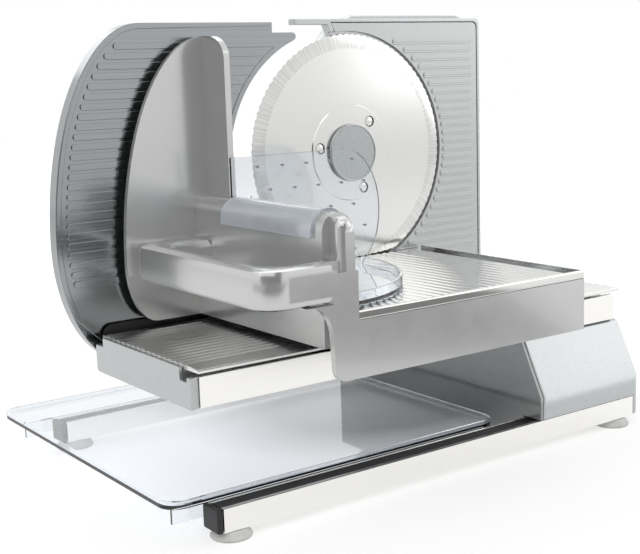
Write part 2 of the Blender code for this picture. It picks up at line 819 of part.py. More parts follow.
def frame_outline():
    """The frame with its bar, its slanted edge beside the blade and its hidden lower left."""
    neck = BLADE_RADIUS + BLADE_WELL_CLEARANCE
    bar_under = FRAME_TOP - BAR_HEIGHT
    points = [
        (-BAR_REACH, FRAME_TOP),
        (-BAR_REACH, bar_under),
        (-FRAME_LEFT, bar_under),
        (FRAME_SLANT - FRAME_LEFT, neck - FRAME_SLANT),
        (-FRAME_HIDDEN_LEFT, FRAME_SHOULDER_TOP),
        (-FRAME_HIDDEN_LEFT, -FRAME_SHOULDER_BOTTOM),
        (BASE_LEFT, -CASE_BOTTOM),
        (FRAME_RIGHT, -CASE_BOTTOM),
    ]
    corner = (FRAME_RIGHT - FRAME_CORNER, FRAME_TOP - FRAME_CORNER)
    return points + arc(corner, (FRAME_CORNER, FRAME_CORNER), 0, 90, ARC // 2)


def face_outline(grow=0):
    """The face plate beside the blade, or its recess when it grows by a seam."""
    radius = BLADE_RADIUS + FACE_CLEARANCE - grow
    left = -FACE_LEFT - grow
    slant = left + FRAME_SLANT
    right = FRAME_RIGHT - FRAME_RIM - FACE_SEAM + grow
    top = FRAME_TOP - FRAME_RIM - FACE_SEAM + grow
    low = -FACE_BOTTOM - grow
    reach = atan2(sqrt(radius * radius - slant * slant), slant) * 180 / pi
    corner = (right - FACE_CORNER, top - FACE_CORNER)
    points = arc((0, 0), (radius, radius), -reach, reach, LONG_ARC * 3)
    points += [(left, top)]
    points += list(reversed(arc(corner, (FACE_CORNER, FACE_CORNER), 0, 90, ARC // 2)))
    points += [(right, low), (slant, low)]
    return points


def housing_frame():
    """The frame: recessed for the face plate and the blade, bossed behind for the front bush."""
    frame = sheet("housing_frame", [frame_outline()], "Y", -FRAME_FRONT, FRAME_BACK, "silver paint")
    cut_front = -FRAME_FRONT - OVERRUN
    recess = sheet("face recess", [face_outline(FACE_SEAM)], "Y", cut_front, RECESS_FLOOR)
    well_radius = BLADE_RADIUS + BLADE_WELL_CLEARANCE
    well = rod("blade well", "Y", cut_front, RECESS_FLOOR, (0, 0), well_radius, None, LONG_ARC * 4)
    front, back = front_bush_place()
    seat_radius = SPINDLE_RADIUS + GAP + BUSH_WALL + GAP
    boss = rod("hub boss", "Y", RECESS_FLOOR + SINK, back, (0, 0), seat_radius + HUB_BOSS_WALL)
    pocket_back = front - GAP
    pocket = rod("flange pocket", "Y", -OVERRUN, pocket_back, (0, 0), FLANGE_RADIUS + RUN)
    seat = rod("bush seat", "Y", -OVERRUN, back + OVERRUN, (0, 0), seat_radius)
    fuse(frame, boss)
    cut(frame, recess, well, pocket, seat)


def face_plate():
    """The grey plate with raised bars that run from the blade's edge to the right."""
    plate = sheet("face_plate", [face_outline()], "Y", 0, FACE_THICKNESS, "grey enamel")
    clear = BLADE_RADIUS + FACE_CLEARANCE + FACE_RIB_START
    right = FRAME_RIGHT - FRAME_RIM - FACE_RIB_END
    rows = []
    for rib in range(FACE_RIBS):
        height = FACE_RIB_TOP - FACE_RIB_PITCH * rib
        start = sqrt(clear * clear - height * height)
        rows.append((start, right, height))
    bars = rib_bars("face ribs", rows, 0, FACE_RIB_PROUD, FACE_RIB_WIDTH, FACE_RIB_CREST)
    fuse(plate, bars)


def case_outline(inset, top_left):
    """The motor housing seen from the front, drawn in by a wall."""
    left = -CASE_LEFT + inset
    right = CASE_RIGHT - inset
    top = CASE_TOP - inset
    return [
        (top_left, top),
        (left, FRAME_SHOULDER_TOP - inset),
        (left, -FRAME_SHOULDER_BOTTOM + inset),
        (BASE_LEFT + inset, -CASE_BOTTOM + inset),
        (right, -CASE_BOTTOM + inset),
        (right, top),
    ]


def motor_housing():
    """The shell behind the frame, with the rear bush's boss, motor saddles and a worm bearing rib."""
    front = FRAME_BACK + GAP
    case = sheet("motor_housing", [case_outline(0, CASE_TOP_LEFT)], "Y", front, CASE_BACK, "silver paint")
    for vert in case.data.vertices:
        if vert.co.y > 0 and vert.co.z > CASE_TOP - MERGE and vert.co.x < CASE_TOP_LEFT + MERGE:
            vert.co.x = CASE_BACK_LEFT
    flat_caps(case)
    rounded(case, CASE_ROUNDING, 3, 30)
    inner_back = CASE_BACK - CASE_WALL
    hollow_left = CASE_BACK_LEFT + CASE_ROUNDING
    hollow = sheet(
        "housing hollow", [case_outline(CASE_WALL, hollow_left)], "Y", front - OVERRUN, inner_back
    )
    cut(case, hollow)
    seat_radius = SPINDLE_RADIUS + GAP + BUSH_WALL + GAP
    start = SPINDLE_END - REAR_BUSH_LENGTH
    boss = rod("rear boss", "Y", start, inner_back + SINK, (0, 0), seat_radius + HUB_BOSS_WALL)
    seat = rod("rear seat", "Y", start - OVERRUN, SPINDLE_END + GAP, (0, 0), seat_radius)
    fuse(case, boss)
    cut(case, seat)
    back = MOTOR_FRONT + MOTOR_LENGTH
    for index, start in enumerate((MOTOR_FRONT + SADDLE_INSET, back - SADDLE_INSET - SADDLE_THICKNESS)):
        saddle = block(
            f"motor saddle {index}",
            (start, start + SADDLE_THICKNESS),
            (WORM_Y, inner_back + SINK),
            (-WORM_DROP - MOTOR_RADIUS, -WORM_DROP + MOTOR_RADIUS),
        )
        fuse(case, saddle)
    can = rod(
        "motor bed",
        "X",
        MOTOR_FRONT,
        back,
        (WORM_Y, -WORM_DROP),
        MOTOR_RADIUS + GAP,
    )
    cut(case, can)
    left = -WORM_PITCH * WORM_TURNS / 2 - WORM_OVERHANG - WORM_BEARING_THICKNESS
    rib = block(
        "worm bearing rib",
        (left, left + WORM_BEARING_THICKNESS),
        (WORM_Y - WORM_RADIUS - HUB_BOSS_WALL, inner_back + SINK),
        (-WORM_DROP - WORM_RADIUS - HUB_BOSS_WALL, -WORM_DROP + WORM_RADIUS),
    )
    bearing = rod(
        "worm bearing",
        "X",
        left - OVERRUN,
        left + WORM_BEARING_THICKNESS + OVERRUN,
        (WORM_Y, -WORM_DROP),
        WORM_SHAFT_RADIUS + GAP,
        None,
        SMALL_ROUND,
    )
    fuse(case, rib)
    cut(case, bearing)
    buttons = (("power", POWER_RADIUS, POWER_Z), ("lockout", LOCKOUT_RADIUS, LOCKOUT_Z))
    for name, radius, height in buttons:
        hole = rod(
            f"{name} hole",
            "X",
            CASE_RIGHT - CASE_WALL - OVERRUN,
            CASE_RIGHT + OVERRUN,
            (BUTTON_Y, height),
            radius + GAP,
        )
        cut(case, hole)


def button(name, radius, height, finish):
    """A round button whose flange lies behind the housing's wall."""
    wall = CASE_RIGHT - CASE_WALL - GAP
    profile = [
        (0, CASE_RIGHT + BUTTON_PROUD),
        (radius - BUTTON_FLANGE / 2, CASE_RIGHT + BUTTON_PROUD),
        (radius, CASE_RIGHT + BUTTON_PROUD - BUTTON_FLANGE / 2),
        (radius, wall),
        (radius + BUTTON_FLANGE, wall),
        (radius + BUTTON_FLANGE, wall - BUTTON_FLANGE_THICKNESS),
        (0, wall - BUTTON_FLANGE_THICKNESS),
    ]
    turned(name, profile, (0, BUTTON_Y, height), "X", finish)


def plate_outline(inset=0):
    """The stop plate's outline, drawn in by a margin: arcs at the left and one round the blade."""
    top = PLATE_TOP - inset
    left = -PLATE_LEFT + inset
    bottom = -PLATE_BOTTOM + inset
    waist = -PLATE_WAIST
    radius = PLATE_ARC_RADIUS + inset
    centre = (-PLATE_ARC_X, -PLATE_ARC_Z)
    right = -PLATE_RIGHT - inset
    upper = (left + PLATE_UPPER_WIDTH - inset, waist)
    lower = (left + PLATE_LOWER_WIDTH - inset, waist)
    tip_radius = max(PLATE_TIP_RADIUS - inset, PLATE_TIP_RADIUS / 2)
    tip_z = PLATE_TIP_TOP - inset - tip_radius
    reach = radius + tip_radius
    tip_x = centre[0] - sqrt(reach * reach - (tip_z - centre[1]) ** 2)
    tip_angle = atan2(tip_z - centre[1], tip_x - centre[0]) * 180 / pi
    end_angle = 180 + asin(sqrt(radius * radius - (right - centre[0]) ** 2) / radius) * 180 / pi
    points = arc(upper, (PLATE_UPPER_WIDTH - inset, top - waist), 180, 90, LONG_ARC)
    points += [(-PLATE_NOTCH_X - inset, top), (-PLATE_NOTCH_X - inset, PLATE_TIP_TOP - inset)]
    points += arc((tip_x, tip_z), (tip_radius, tip_radius), 90, tip_angle - 180, ARC // 2)
    points += arc(centre, (radius, radius), tip_angle, end_angle, LONG_ARC * 2)
    points += [(right, bottom)]
    points += arc(lower, (PLATE_LOWER_WIDTH - inset, waist - bottom), 270, 180, LONG_ARC)[:-1]
    return points


def plate_limits(height):
    """How far left and right a rib on the stop plate may run at a height."""
    inset = PLATE_RIB_OUTER_INSET
    width, tall = PLATE_UPPER_WIDTH - inset, PLATE_TOP - inset + PLATE_WAIST
    if height < -PLATE_WAIST:
        width, tall = PLATE_LOWER_WIDTH - inset, PLATE_BOTTOM - inset - PLATE_WAIST
    rise = (height + PLATE_WAIST) / tall
    left = -PLATE_LEFT + inset + width * (1 - sqrt(1 - rise * rise))
    clear = PLATE_ARC_RADIUS + PLATE_RIB_INNER_INSET
    up = height + PLATE_ARC_Z
    right = -PLATE_ARC_X - sqrt(clear * clear - up * up)
    return left, right


def stop_plate():
    """The plate: a hollow back, raised bars in front and two bosses for its guide rods."""
    back = PLATE_FACE + PLATE_DEPTH
    plate = sheet("stop_plate", [plate_outline()], "Y", PLATE_FACE, back, "grey enamel")
    hollow = sheet(
        "plate hollow", [plate_outline(PLATE_WALL)], "Y", PLATE_FACE + PLATE_WALL, back + OVERRUN
    )
    flat_caps(plate)
    flat_caps(hollow)
    cut(plate, hollow)
    rows = []
    for rib in range(PLATE_RIBS):
        height = PLATE_RIB_TOP - PLATE_RIB_PITCH * rib
        left, right = plate_limits(height)
        rows.append((left, right, height))
    bars = rib_bars(
        "plate ribs", rows, PLATE_FACE, PLATE_RIB_PROUD, PLATE_RIB_WIDTH, PLATE_RIB_CREST
    )
    fuse(plate, bars)
    for side, across in (("left", -ROD_LEFT_X), ("right", -ROD_RIGHT_X)):
        middle = (across, -ROD_DROP)
        bore = ROD_RADIUS + GAP
        boss = rod(
            f"{side} rod boss", "Y", PLATE_FACE + SINK, back, middle, bore + ROD_BOSS_WALL, None, SMALL_ROUND
        )
        seat = rod(
            f"{side} rod seat", "Y", PLATE_FACE - OVERRUN, back + OVERRUN, middle, bore, None, SMALL_ROUND
        )
        fuse(plate, boss)
        cut(plate, seat)


def guide_rods():
    """The rods on the stop plate, with the flanged bushes that carry them in the beam's rear wall."""
    wall_front = BEAM_BACK - BEAM_BACK_WALL
    outer = ROD_RADIUS + GAP + ROD_BUSH_WALL
    for side, across in (("left", -ROD_LEFT_X), ("right", -ROD_RIGHT_X)):
        middle = (across, -ROD_DROP)
        name = f"guide_rod_{side}"
        rod(name, "Y", ROD_FRONT, ROD_TIP, middle, ROD_RADIUS, "brushed steel", SMALL_ROUND)
        flange = outer + ROD_BUSH_FLANGE
        profile = [
            (outer, BEAM_BACK),
            (outer, wall_front - GAP),
            (flange, wall_front - GAP),
            (flange, wall_front - GAP - ROD_BUSH_FLANGE),
            (outer, wall_front - GAP - ROD_BUSH_FLANGE),
            (outer, BEAM_BACK - ROD_BUSH_LENGTH),
            (ROD_RADIUS + GAP, BEAM_BACK - ROD_BUSH_LENGTH),
            (ROD_RADIUS + GAP, BEAM_BACK),
        ]
        turned(f"guide_bush_{side}", profile, (across, 0, -ROD_DROP), "Y", "bronze", SMALL_ROUND)


def yoke():
    """The bar that joins the rods' ends and carries the screw's nut."""
    bar = block(
        "yoke_bar",
        (-ROD_LEFT_X - YOKE_OVERHANG, SCREW_X + YOKE_OVERHANG),
        (YOKE_FRONT, YOKE_FRONT + YOKE_DEPTH),
        (-ROD_DROP - YOKE_HEIGHT / 2, -ROD_DROP + YOKE_HEIGHT / 2),
        "brushed steel",
    )
    ends = (YOKE_FRONT - OVERRUN, YOKE_FRONT + YOKE_DEPTH + OVERRUN)
    for name, across, radius in (
        ("left rod", -ROD_LEFT_X, ROD_RADIUS),
        ("right rod", -ROD_RIGHT_X, ROD_RADIUS),
        ("screw", SCREW_X, SCREW_RADIUS),
    ):
        middle = (across, -ROD_DROP)
        hole = rod(f"yoke {name} hole", "Y", *ends, middle, radius + GAP, None, SMALL_ROUND)
        cut(bar, hole)


def thickness_screw():
    """The screw that drives the yoke, held by a collar behind the base's step."""
    collar_front = BASE_STEP_FRONT + BASE_WALL + GAP
    profile = [
        (0, BASE_BACK + KNOB_LENGTH / 2),
        (SCREW_RADIUS, BASE_BACK + KNOB_LENGTH / 2),
        (SCREW_RADIUS, collar_front + SCREW_COLLAR_LENGTH),
        (SCREW_COLLAR_RADIUS, collar_front + SCREW_COLLAR_LENGTH),
        (SCREW_COLLAR_RADIUS, collar_front),
        (SCREW_RADIUS, collar_front),
        (SCREW_RADIUS, ROD_FRONT),
        (0, ROD_FRONT),
    ]
    turned("thickness_screw", profile, (SCREW_X, 0, -ROD_DROP), "Y", "brushed steel", SMALL_ROUND)


def thickness_knob():
    """The knob on the screw's end, fluted for the fingers."""
    front = BASE_BACK + GAP
    back = front + KNOB_LENGTH
    outline = []
    step = 360 / KNOB_GROOVES
    for groove in range(KNOB_GROOVES):
        start = groove * step
        reach = KNOB_RADIUS - KNOB_GROOVE_RADIUS
        outline.append((reach * cos(radians(start)), reach * sin(radians(start))))
        for share in KNOB_LAND_SHARES:
            angle = radians(start + step * share)
            outline.append((KNOB_RADIUS * cos(angle), KNOB_RADIUS * sin(angle)))
    knob = sheet("thickness_knob", [outline], "Y", front, back, "black plastic")
    knob.location.x = SCREW_X
    knob.location.z = -ROD_DROP
    bore = rod(
        "knob bore",
        "Y",
        front - OVERRUN,
        BASE_BACK + KNOB_LENGTH / 2 + GAP,
        (SCREW_X, -ROD_DROP),
        SCREW_RADIUS + GAP,
        None,
        SMALL_ROUND,
    )
    cut(knob, bore)


def beam_top_outline():
    """The beam's top end on: a shelf under the deck, with a groove's floor at each side."""
    front = -BODY_FRONT + BEAM_FRONT_WALL + GAP
    wall = BEAM_WALL
    return [
        (front, -FRONT_GROOVE_FLOOR),
        (-DECK_FRONT_SHELF, -FRONT_GROOVE_FLOOR),
        (-DECK_FRONT_SHELF, -SHELF_TOP),
        (-DECK_BACK_SHELF, -SHELF_TOP),
        (-DECK_BACK_SHELF, -BACK_GROOVE_FLOOR),
        (BEAM_BACK, -BACK_GROOVE_FLOOR),
        (BEAM_BACK, -BACK_GROOVE_FLOOR - wall),
        (-DECK_BACK_SHELF - wall, -BACK_GROOVE_FLOOR - wall),
        (-DECK_BACK_SHELF - wall, -SHELF_TOP - wall),
        (-DECK_FRONT_SHELF + wall, -SHELF_TOP - wall),
        (-DECK_FRONT_SHELF + wall, -FRONT_GROOVE_FLOOR - wall),
        (front, -FRONT_GROOVE_FLOOR - wall),
    ]


def beam_body():
    """The beam's grooved top and its two walls, the rear one drilled for the rods and the screw."""
    ends = (-BODY_LEFT, BEAM_RIGHT)
    sheet("beam_body", [beam_top_outline()], "X", *ends, "silver paint")
    front = -BODY_FRONT
    block("beam_front_wall", ends, (front, front + BEAM_FRONT_WALL), (-BEAM_BOTTOM, -FRONT_WALL_TOP), "silver paint")
    inner_back = BEAM_BACK - BEAM_BACK_WALL
    wall_top = -BACK_GROOVE_FLOOR - BEAM_WALL - GAP
    wall = block("beam_rear_wall", ends, (inner_back, BEAM_BACK), (-BEAM_BOTTOM, wall_top), "silver paint")
    bush_radius = ROD_RADIUS + GAP + ROD_BUSH_WALL + GAP
    for name, across, radius in (
        ("left bush", -ROD_LEFT_X, bush_radius),
        ("right bush", -ROD_RIGHT_X, bush_radius),
        ("screw", SCREW_X, SCREW_RADIUS + GAP),
    ):
        through = (inner_back - OVERRUN, BEAM_BACK + OVERRUN)
        hole = rod(f"beam {name} hole", "Y", *through, (across, -ROD_DROP), radius, None, SMALL_ROUND)
        cut(wall, hole)


def beam_panel():
    """The bright sheet on the beam's front."""
    panel = block(
        "beam_front_panel",
        (-BODY_LEFT + BEAM_PANEL_SETBACK, BEAM_RIGHT),
        (-BEAM_FRONT, -BEAM_FRONT + BEAM_PANEL_THICKNESS),
        (-BEAM_BOTTOM, -FRONT_WALL_TOP),
        "brushed steel",
    )
    rounded(panel, BEAM_PANEL_THICKNESS / 4, 1)


def beam_end_cap():
    """The satin plate on the beam's left end, notched where the carriage's feet run."""
    lower = arc(
        (BEAM_BACK - BEAM_CAP_ROUNDING, -BEAM_BOTTOM + BEAM_CAP_ROUNDING),
        (BEAM_CAP_ROUNDING, BEAM_CAP_ROUNDING),
        -90,
        0,
        ARC // 2,
    )
    upper = [
        (BEAM_BACK, -BACK_GROOVE_FLOOR),
        (-DECK_BACK_SHELF, -BACK_GROOVE_FLOOR),
        (-DECK_BACK_SHELF, -DECK_TOP),
        (-DECK_FRONT_SHELF, -DECK_TOP),
        (-DECK_FRONT_SHELF, -FRONT_GROOVE_FLOOR),
        (-BODY_FRONT + BEAM_FRONT_WALL, -FRONT_GROOVE_FLOOR),
        (-BODY_FRONT + BEAM_FRONT_WALL, -FRONT_WALL_TOP),
        (-BEAM_FRONT, -FRONT_WALL_TOP),
        (-BEAM_FRONT, -BEAM_BOTTOM),
    ]
    right = -BEAM_LEFT + BEAM_CAP_THICKNESS
    sheet("beam_end_cap", [lower + upper], "X", -BEAM_LEFT, right, "silver paint")


def beam_deck():
    """The stainless top, folded down to a lip in front, with ribs along the carriage's way."""
    start = -DECK_FRONT_SHELF + DECK_RIB_MARGIN - DECK_RIB_PITCH
    top = ribbed_edge(
        start, DECK_RIB_PITCH, DECK_RIBS, DECK_RIB_WIDTH, DECK_RIB_CREST, -DECK_TOP, DECK_RIB_PROUD
    )
    outline = [(-DECK_FRONT, -DECK_UNDERSIDE), (-DECK_BACK, -DECK_UNDERSIDE), (-DECK_BACK, -DECK_TOP)]
    outline += list(reversed(top))
    outline += [(-DECK_FRONT, -DECK_TOP)]
    sheet("beam_deck", [outline], "X", -BODY_LEFT, BEAM_RIGHT, "polished steel")


def beam_upstand():
    """The thin strip that stands on the beam's rear wall, round at its left end."""
    top = -UPSTAND_TOP
    low = -BACK_GROOVE_FLOOR + GAP
    radius = (top - low) * UPSTAND_END_SHARE
    left = -UPSTAND_LEFT
    right = -FRAME_HIDDEN_LEFT - RUN
    outline = [(right, low), (right, top)]
    outline += arc((left + radius, top - radius), (radius, radius), 90, 180, ARC)
    outline += [(left, low)]
    sheet("beam_upstand", [outline], "Y", BEAM_BACK - UPSTAND_THICKNESS, BEAM_BACK, "black plastic")


def base_outline(foot):
    """The base end on: upright front, sloping shoulder, shelf under the beam, step behind."""
    return [
        (-BASE_FRONT, -foot),
        (-BASE_FRONT, -BASE_KNEE),
        (-BASE_SHOULDER, -BASE_SLOPE_TOP),
        (-BASE_SHOULDER + (BASE_SLOPE_TOP - BASE_TOP), -BASE_TOP),
        (BASE_STEP_FRONT, -BASE_TOP),
        (BASE_STEP_FRONT, -BASE_STEP),
        (BASE_BACK, -BASE_STEP),
        (BASE_BACK, -foot),
    ]


def rail_ways(name, left, right):
    """The two ways under a piece that leave room for the rails."""
    ways = []
    for side, front in (("front", -BASE_FRONT), ("rear", BASE_BACK - RAIL_WIDTH)):
        low = front - OVERRUN if side == "front" else front - GAP
        high = front + RAIL_WIDTH + GAP if side == "front" else front + RAIL_WIDTH + OVERRUN
        ways.append(block(
            f"{name} {side} rail way",
            (left, right),
            (low, high),
            (-BASE_FOOT - OVERRUN, -RAIL_TOP + GAP),
        ))
    return ways


def base_shell():
    """The base: hollow from below between the rails, drilled for the adjusting screw."""
    left = BASE_LEFT + COVER_THICKNESS + COVER_SEAM
    shell = sheet("base_shell", [base_outline(BASE_FOOT)], "X", left, BASE_RIGHT, "silver paint")
    flat_caps(shell)
    rounded(shell, BASE_ROUNDING, 2, 30)
    inner_front = -BASE_FRONT + RAIL_WIDTH + BASE_WALL
    inner_back = BASE_BACK - RAIL_WIDTH - BASE_WALL
    step = BASE_STEP_FRONT + BASE_WALL
    hollow_outline = [
        (inner_front, -BASE_FOOT - OVERRUN),
        (inner_front, -BASE_TOP - BASE_WALL),
        (step, -BASE_TOP - BASE_WALL),
        (step, -BASE_STEP - BASE_WALL),
        (inner_back, -BASE_STEP - BASE_WALL),
        (inner_back, -BASE_FOOT - OVERRUN),
    ]
    hollow = sheet("base hollow", [hollow_outline], "X", left + BASE_WALL, BASE_RIGHT - BASE_WALL)
    beam_seat = block(
        "beam seat",
        (left - OVERRUN, BASE_RIGHT + OVERRUN),
        (-BASE_SHOULDER, BASE_STEP_FRONT),
        (-BASE_TOP, -BASE_STEP + OVERRUN),
    )
    cut(shell, hollow, beam_seat, *rail_ways("base", left - OVERRUN, RAIL_RIGHT + GAP))
    bore = rod(
        "base screw bore",
        "Y",
        BASE_STEP_FRONT - OVERRUN,
        BASE_BACK + OVERRUN,
        (SCREW_X, -ROD_DROP),
        SCREW_RADIUS + GAP,
        None,
        SMALL_ROUND,
    )
    cut(shell, bore)
    inlet = rod(
        "inlet bore",
        "Y",
        inner_back - OVERRUN,
        BASE_BACK + OVERRUN,
        (INLET_X, -INLET_Z),
        INLET_NOZZLE_RADIUS + GAP,
        None,
        SMALL_ROUND,
    )
    cut(shell, inlet)


def base_side_cover():
    """The dark gloss cover on the base's left side, notched over the rails."""
    right = BASE_LEFT + COVER_THICKNESS
    cover = sheet("base_side_cover", [base_outline(BASE_FOOT)], "X", BASE_LEFT, right, "dark gloss plastic")
    cut(cover, *rail_ways("cover", BASE_LEFT - OVERRUN, right + OVERRUN))


def mains_inlet():
    """The gland at the back of the base where a mains lead would enter."""
    flange_back = BASE_BACK + GAP + INLET_FLANGE
    profile = [
        (INLET_NOZZLE_RADIUS, flange_back + INLET_LENGTH),
        (INLET_NOZZLE_RADIUS, flange_back),
        (INLET_RADIUS, flange_back),
        (INLET_RADIUS, BASE_BACK + GAP),
        (INLET_NOZZLE_RADIUS, BASE_BACK + GAP),
        (INLET_NOZZLE_RADIUS, BASE_BACK - INLET_LENGTH),
        (INLET_BORE_RADIUS, BASE_BACK - INLET_LENGTH),
        (INLET_BORE_RADIUS, flange_back + INLET_LENGTH),
    ]
    turned("mains_inlet", profile, (INLET_X, 0, -INLET_Z), "Y", "black plastic", SMALL_ROUND)


def rail_outline(front):
    """A rail end on, with the channel for its insert."""
    low = front + RAIL_CHANNEL_INSET
    high = low + RAIL_CHANNEL_WIDTH
    floor = -RAIL_TOP - RAIL_CHANNEL_DEPTH
    return [
        (front, -RAIL_BOTTOM),
        (front + RAIL_WIDTH, -RAIL_BOTTOM),
        (front + RAIL_WIDTH, -RAIL_TOP),
        (high, -RAIL_TOP),
        (high, floor),
        (low, floor),
        (low, -RAIL_TOP),
        (front, -RAIL_TOP),
    ]


def insert_outline(front):
    """The grooved strip in a rail's channel, end on."""
    low = front + RAIL_CHANNEL_INSET + GAP
    high = low + RAIL_CHANNEL_WIDTH - GAP * 2
    floor = -RAIL_TOP - RAIL_CHANNEL_DEPTH + GAP
    top = -RAIL_TOP - GAP / 2
    pitch = (high - low) / (INSERT_GROOVES + 1)
    points = [(low, floor), (high, floor), (high, top)]
    for groove in range(INSERT_GROOVES, 0, -1):
        middle = low + pitch * groove
        half = INSERT_GROOVE_WIDTH / 2
        points += [(middle + half, top), (middle, top - INSERT_GROOVE_DEPTH), (middle - half, top)]
    return points + [(low, top)]


def rails():
    """Two rails under the slicer, each with its insert and its end cap."""
    for side, front in (("front", -BASE_FRONT), ("rear", BASE_BACK - RAIL_WIDTH)):
        sheet(f"{side}_rail", [rail_outline(front)], "X", -RAIL_LEFT, RAIL_RIGHT, "polished steel")
        sheet(
            f"{side}_rail_insert",
            [insert_outline(front)],
            "X",
            -RAIL_LEFT + GAP,
            RAIL_RIGHT - GAP,
            "black plastic",
        )
        cap = block(
            f"{side}_rail_cap",
            (-RAIL_LEFT - RAIL_CAP, -RAIL_LEFT - GAP),
            (front, front + RAIL_WIDTH),
            (-RAIL_BOTTOM, -RAIL_TOP),
            "black plastic",
        )
        rounded(cap, RAIL_ROUNDING)


def feet():
    """Four rubber feet under the rails' ends."""
    top = -RAIL_BOTTOM - GAP
    floor = top - FOOT_HEIGHT
    profile = [
        (0, top),
        (FOOT_TOP_RADIUS, top),
        (FOOT_RADIUS, floor + FOOT_LIP),
        (FOOT_RADIUS, floor + FOOT_LIP / 2),
        (FOOT_RADIUS - FOOT_LIP / 2, floor),
        (0, floor),
    ]
    for row, front in (("front", -BASE_FRONT), ("rear", BASE_BACK - RAIL_WIDTH)):
        for side, across in (("left", -FOOT_LEFT_X), ("right", FOOT_RIGHT_X)):
            location = (across, front + RAIL_WIDTH / 2, 0)
            turned(f"foot_{row}_{side}", profile, location, "Z", "white rubber", SMALL_ROUND + ARC)


def tray():
    """The clear tray: a thin floor, an upright rim and two skirts that keep it between the rails."""
    low = -RAIL_TOP + GAP
    high = low + TRAY_RIM_HEIGHT
    outer = round_box((-TRAY_LEFT, -TRAY_FRONT), (-TRAY_RIGHT, TRAY_BACK), TRAY_CORNER)
    body = sheet("food_tray", [outer], "Z", low, high, "clear plastic")
    inner = round_box(
        (-TRAY_LEFT + TRAY_WALL, -TRAY_FRONT + TRAY_WALL),
        (-TRAY_RIGHT - TRAY_WALL, TRAY_BACK - TRAY_WALL),
        TRAY_CORNER - TRAY_WALL,
    )
    hollow = sheet("tray hollow", [inner], "Z", low + TRAY_FLOOR, high + OVERRUN)
    front = -BASE_FRONT + RAIL_WIDTH + GAP
    back = BASE_BACK + GAP
    for name, start in (("front", front), ("rear", back)):
        skirt = block(
            f"tray {name} skirt",
            (-TRAY_LEFT + TRAY_CORNER, -TRAY_RIGHT - TRAY_CORNER),
            (start, start + TRAY_WALL),
            (low - TRAY_SKIRT_DEPTH, low + SINK),
        )
        fuse(body, skirt)
    cut(body, hollow)


def apron_outline():
    """The carriage's front: a long apron with a rounded corner and a neck up to the grip."""
    top = -TABLE_TOP - TABLE_LIP_DROP - GAP
    corner = (-APRON_LEFT + APRON_CORNER, -APRON_BOTTOM + APRON_CORNER)
    points = [
        (TABLE_RIGHT, top),
        (-APRON_UPRIGHT_RIGHT, top),
        (-APRON_UPRIGHT_RIGHT, -APRON_UPRIGHT_TOP),
        (-GRIP_RIGHT + GAP, -APRON_UPRIGHT_TOP),
        (-GRIP_RIGHT + GAP, -GRIP_BOTTOM - GAP),
    ]
    neck = (-APRON_SHOULDER_X, -APRON_NECK_Z)
    radii = (APRON_SHOULDER_X - APRON_NECK_X, APRON_NECK_Z - GRIP_BOTTOM - GAP)
    points += arc(neck, radii, 90, 0, ARC)
    points += arc(corner, (APRON_CORNER, APRON_CORNER), 180, 270, ARC)
    points += [(TABLE_RIGHT, -APRON_BOTTOM)]
    return points


def apron():
    """The plain front of the carriage."""
    panel = sheet("carriage_apron", [apron_outline()], "Y", -CARRIAGE_FRONT, -APRON_BACK, "warm grey plastic")
    smooth(panel)


def grip():
    """The handle: a bar bent round from the wall's rear to the post, with full round edges."""
    wall = -WALL_CENTRE - WALL_HALF_WIDTH - GAP
    post = -WALL_CENTRE - POST_HALF_WIDTH - GAP
    front = -CARRIAGE_FRONT + GRIP_FRONT_BAR
    back = -GRIP_BACK - GRIP_BACK_BAR
    corner = (GRIP_OUTER_CORNER, GRIP_OUTER_CORNER)
    across = -GRIP_OUTER + GRIP_OUTER_CORNER
    outline = [(post, -CARRIAGE_FRONT), (post, front)]
    inner_corner = (GRIP_INNER_CORNER, GRIP_INNER_CORNER)
    inner_across = -GRIP_INNER + GRIP_INNER_CORNER
    outline += arc((inner_across, front + GRIP_INNER_CORNER), inner_corner, 270, 180, ARC // 2)
    outline += arc((inner_across, back - GRIP_INNER_CORNER), inner_corner, 180, 90, ARC // 2)
    outline += [(wall, back), (wall, -GRIP_BACK)]
    outline += arc((across, -GRIP_BACK - GRIP_OUTER_CORNER), corner, 90, 180, ARC)
    outline += arc((across, -CARRIAGE_FRONT + GRIP_OUTER_CORNER), corner, 180, 270, ARC)
    limits = (-GRIP_BOTTOM, -GRIP_TOP)
    loop = sheet("carriage_grip", [outline], "Z", *limits, "light grey plastic", GRIP_ROUNDING)
    clear = block(
        "grip clears apron",
        (-GRIP_RIGHT, post + OVERRUN),
        (-CARRIAGE_FRONT - OVERRUN, -APRON_BACK + GAP),
        (-GRIP_BOTTOM - OVERRUN, -GRIP_TOP + OVERRUN),
    )
    cut(loop, clear)
    smooth(loop)


def wall_section(inset):
    """The arched wall end on."""
    half = WALL_HALF_WIDTH - inset
    middle = -WALL_CENTRE
    bottom = -WALL_BOTTOM - (OVERRUN if inset else 0)
    spring = -WALL_TOP - WALL_HALF_WIDTH
    points = [(middle + half, bottom)]
    points += arc((middle, spring), (half, half), 0, 180, ARC)
    points += [(middle - half, bottom)]
    return points


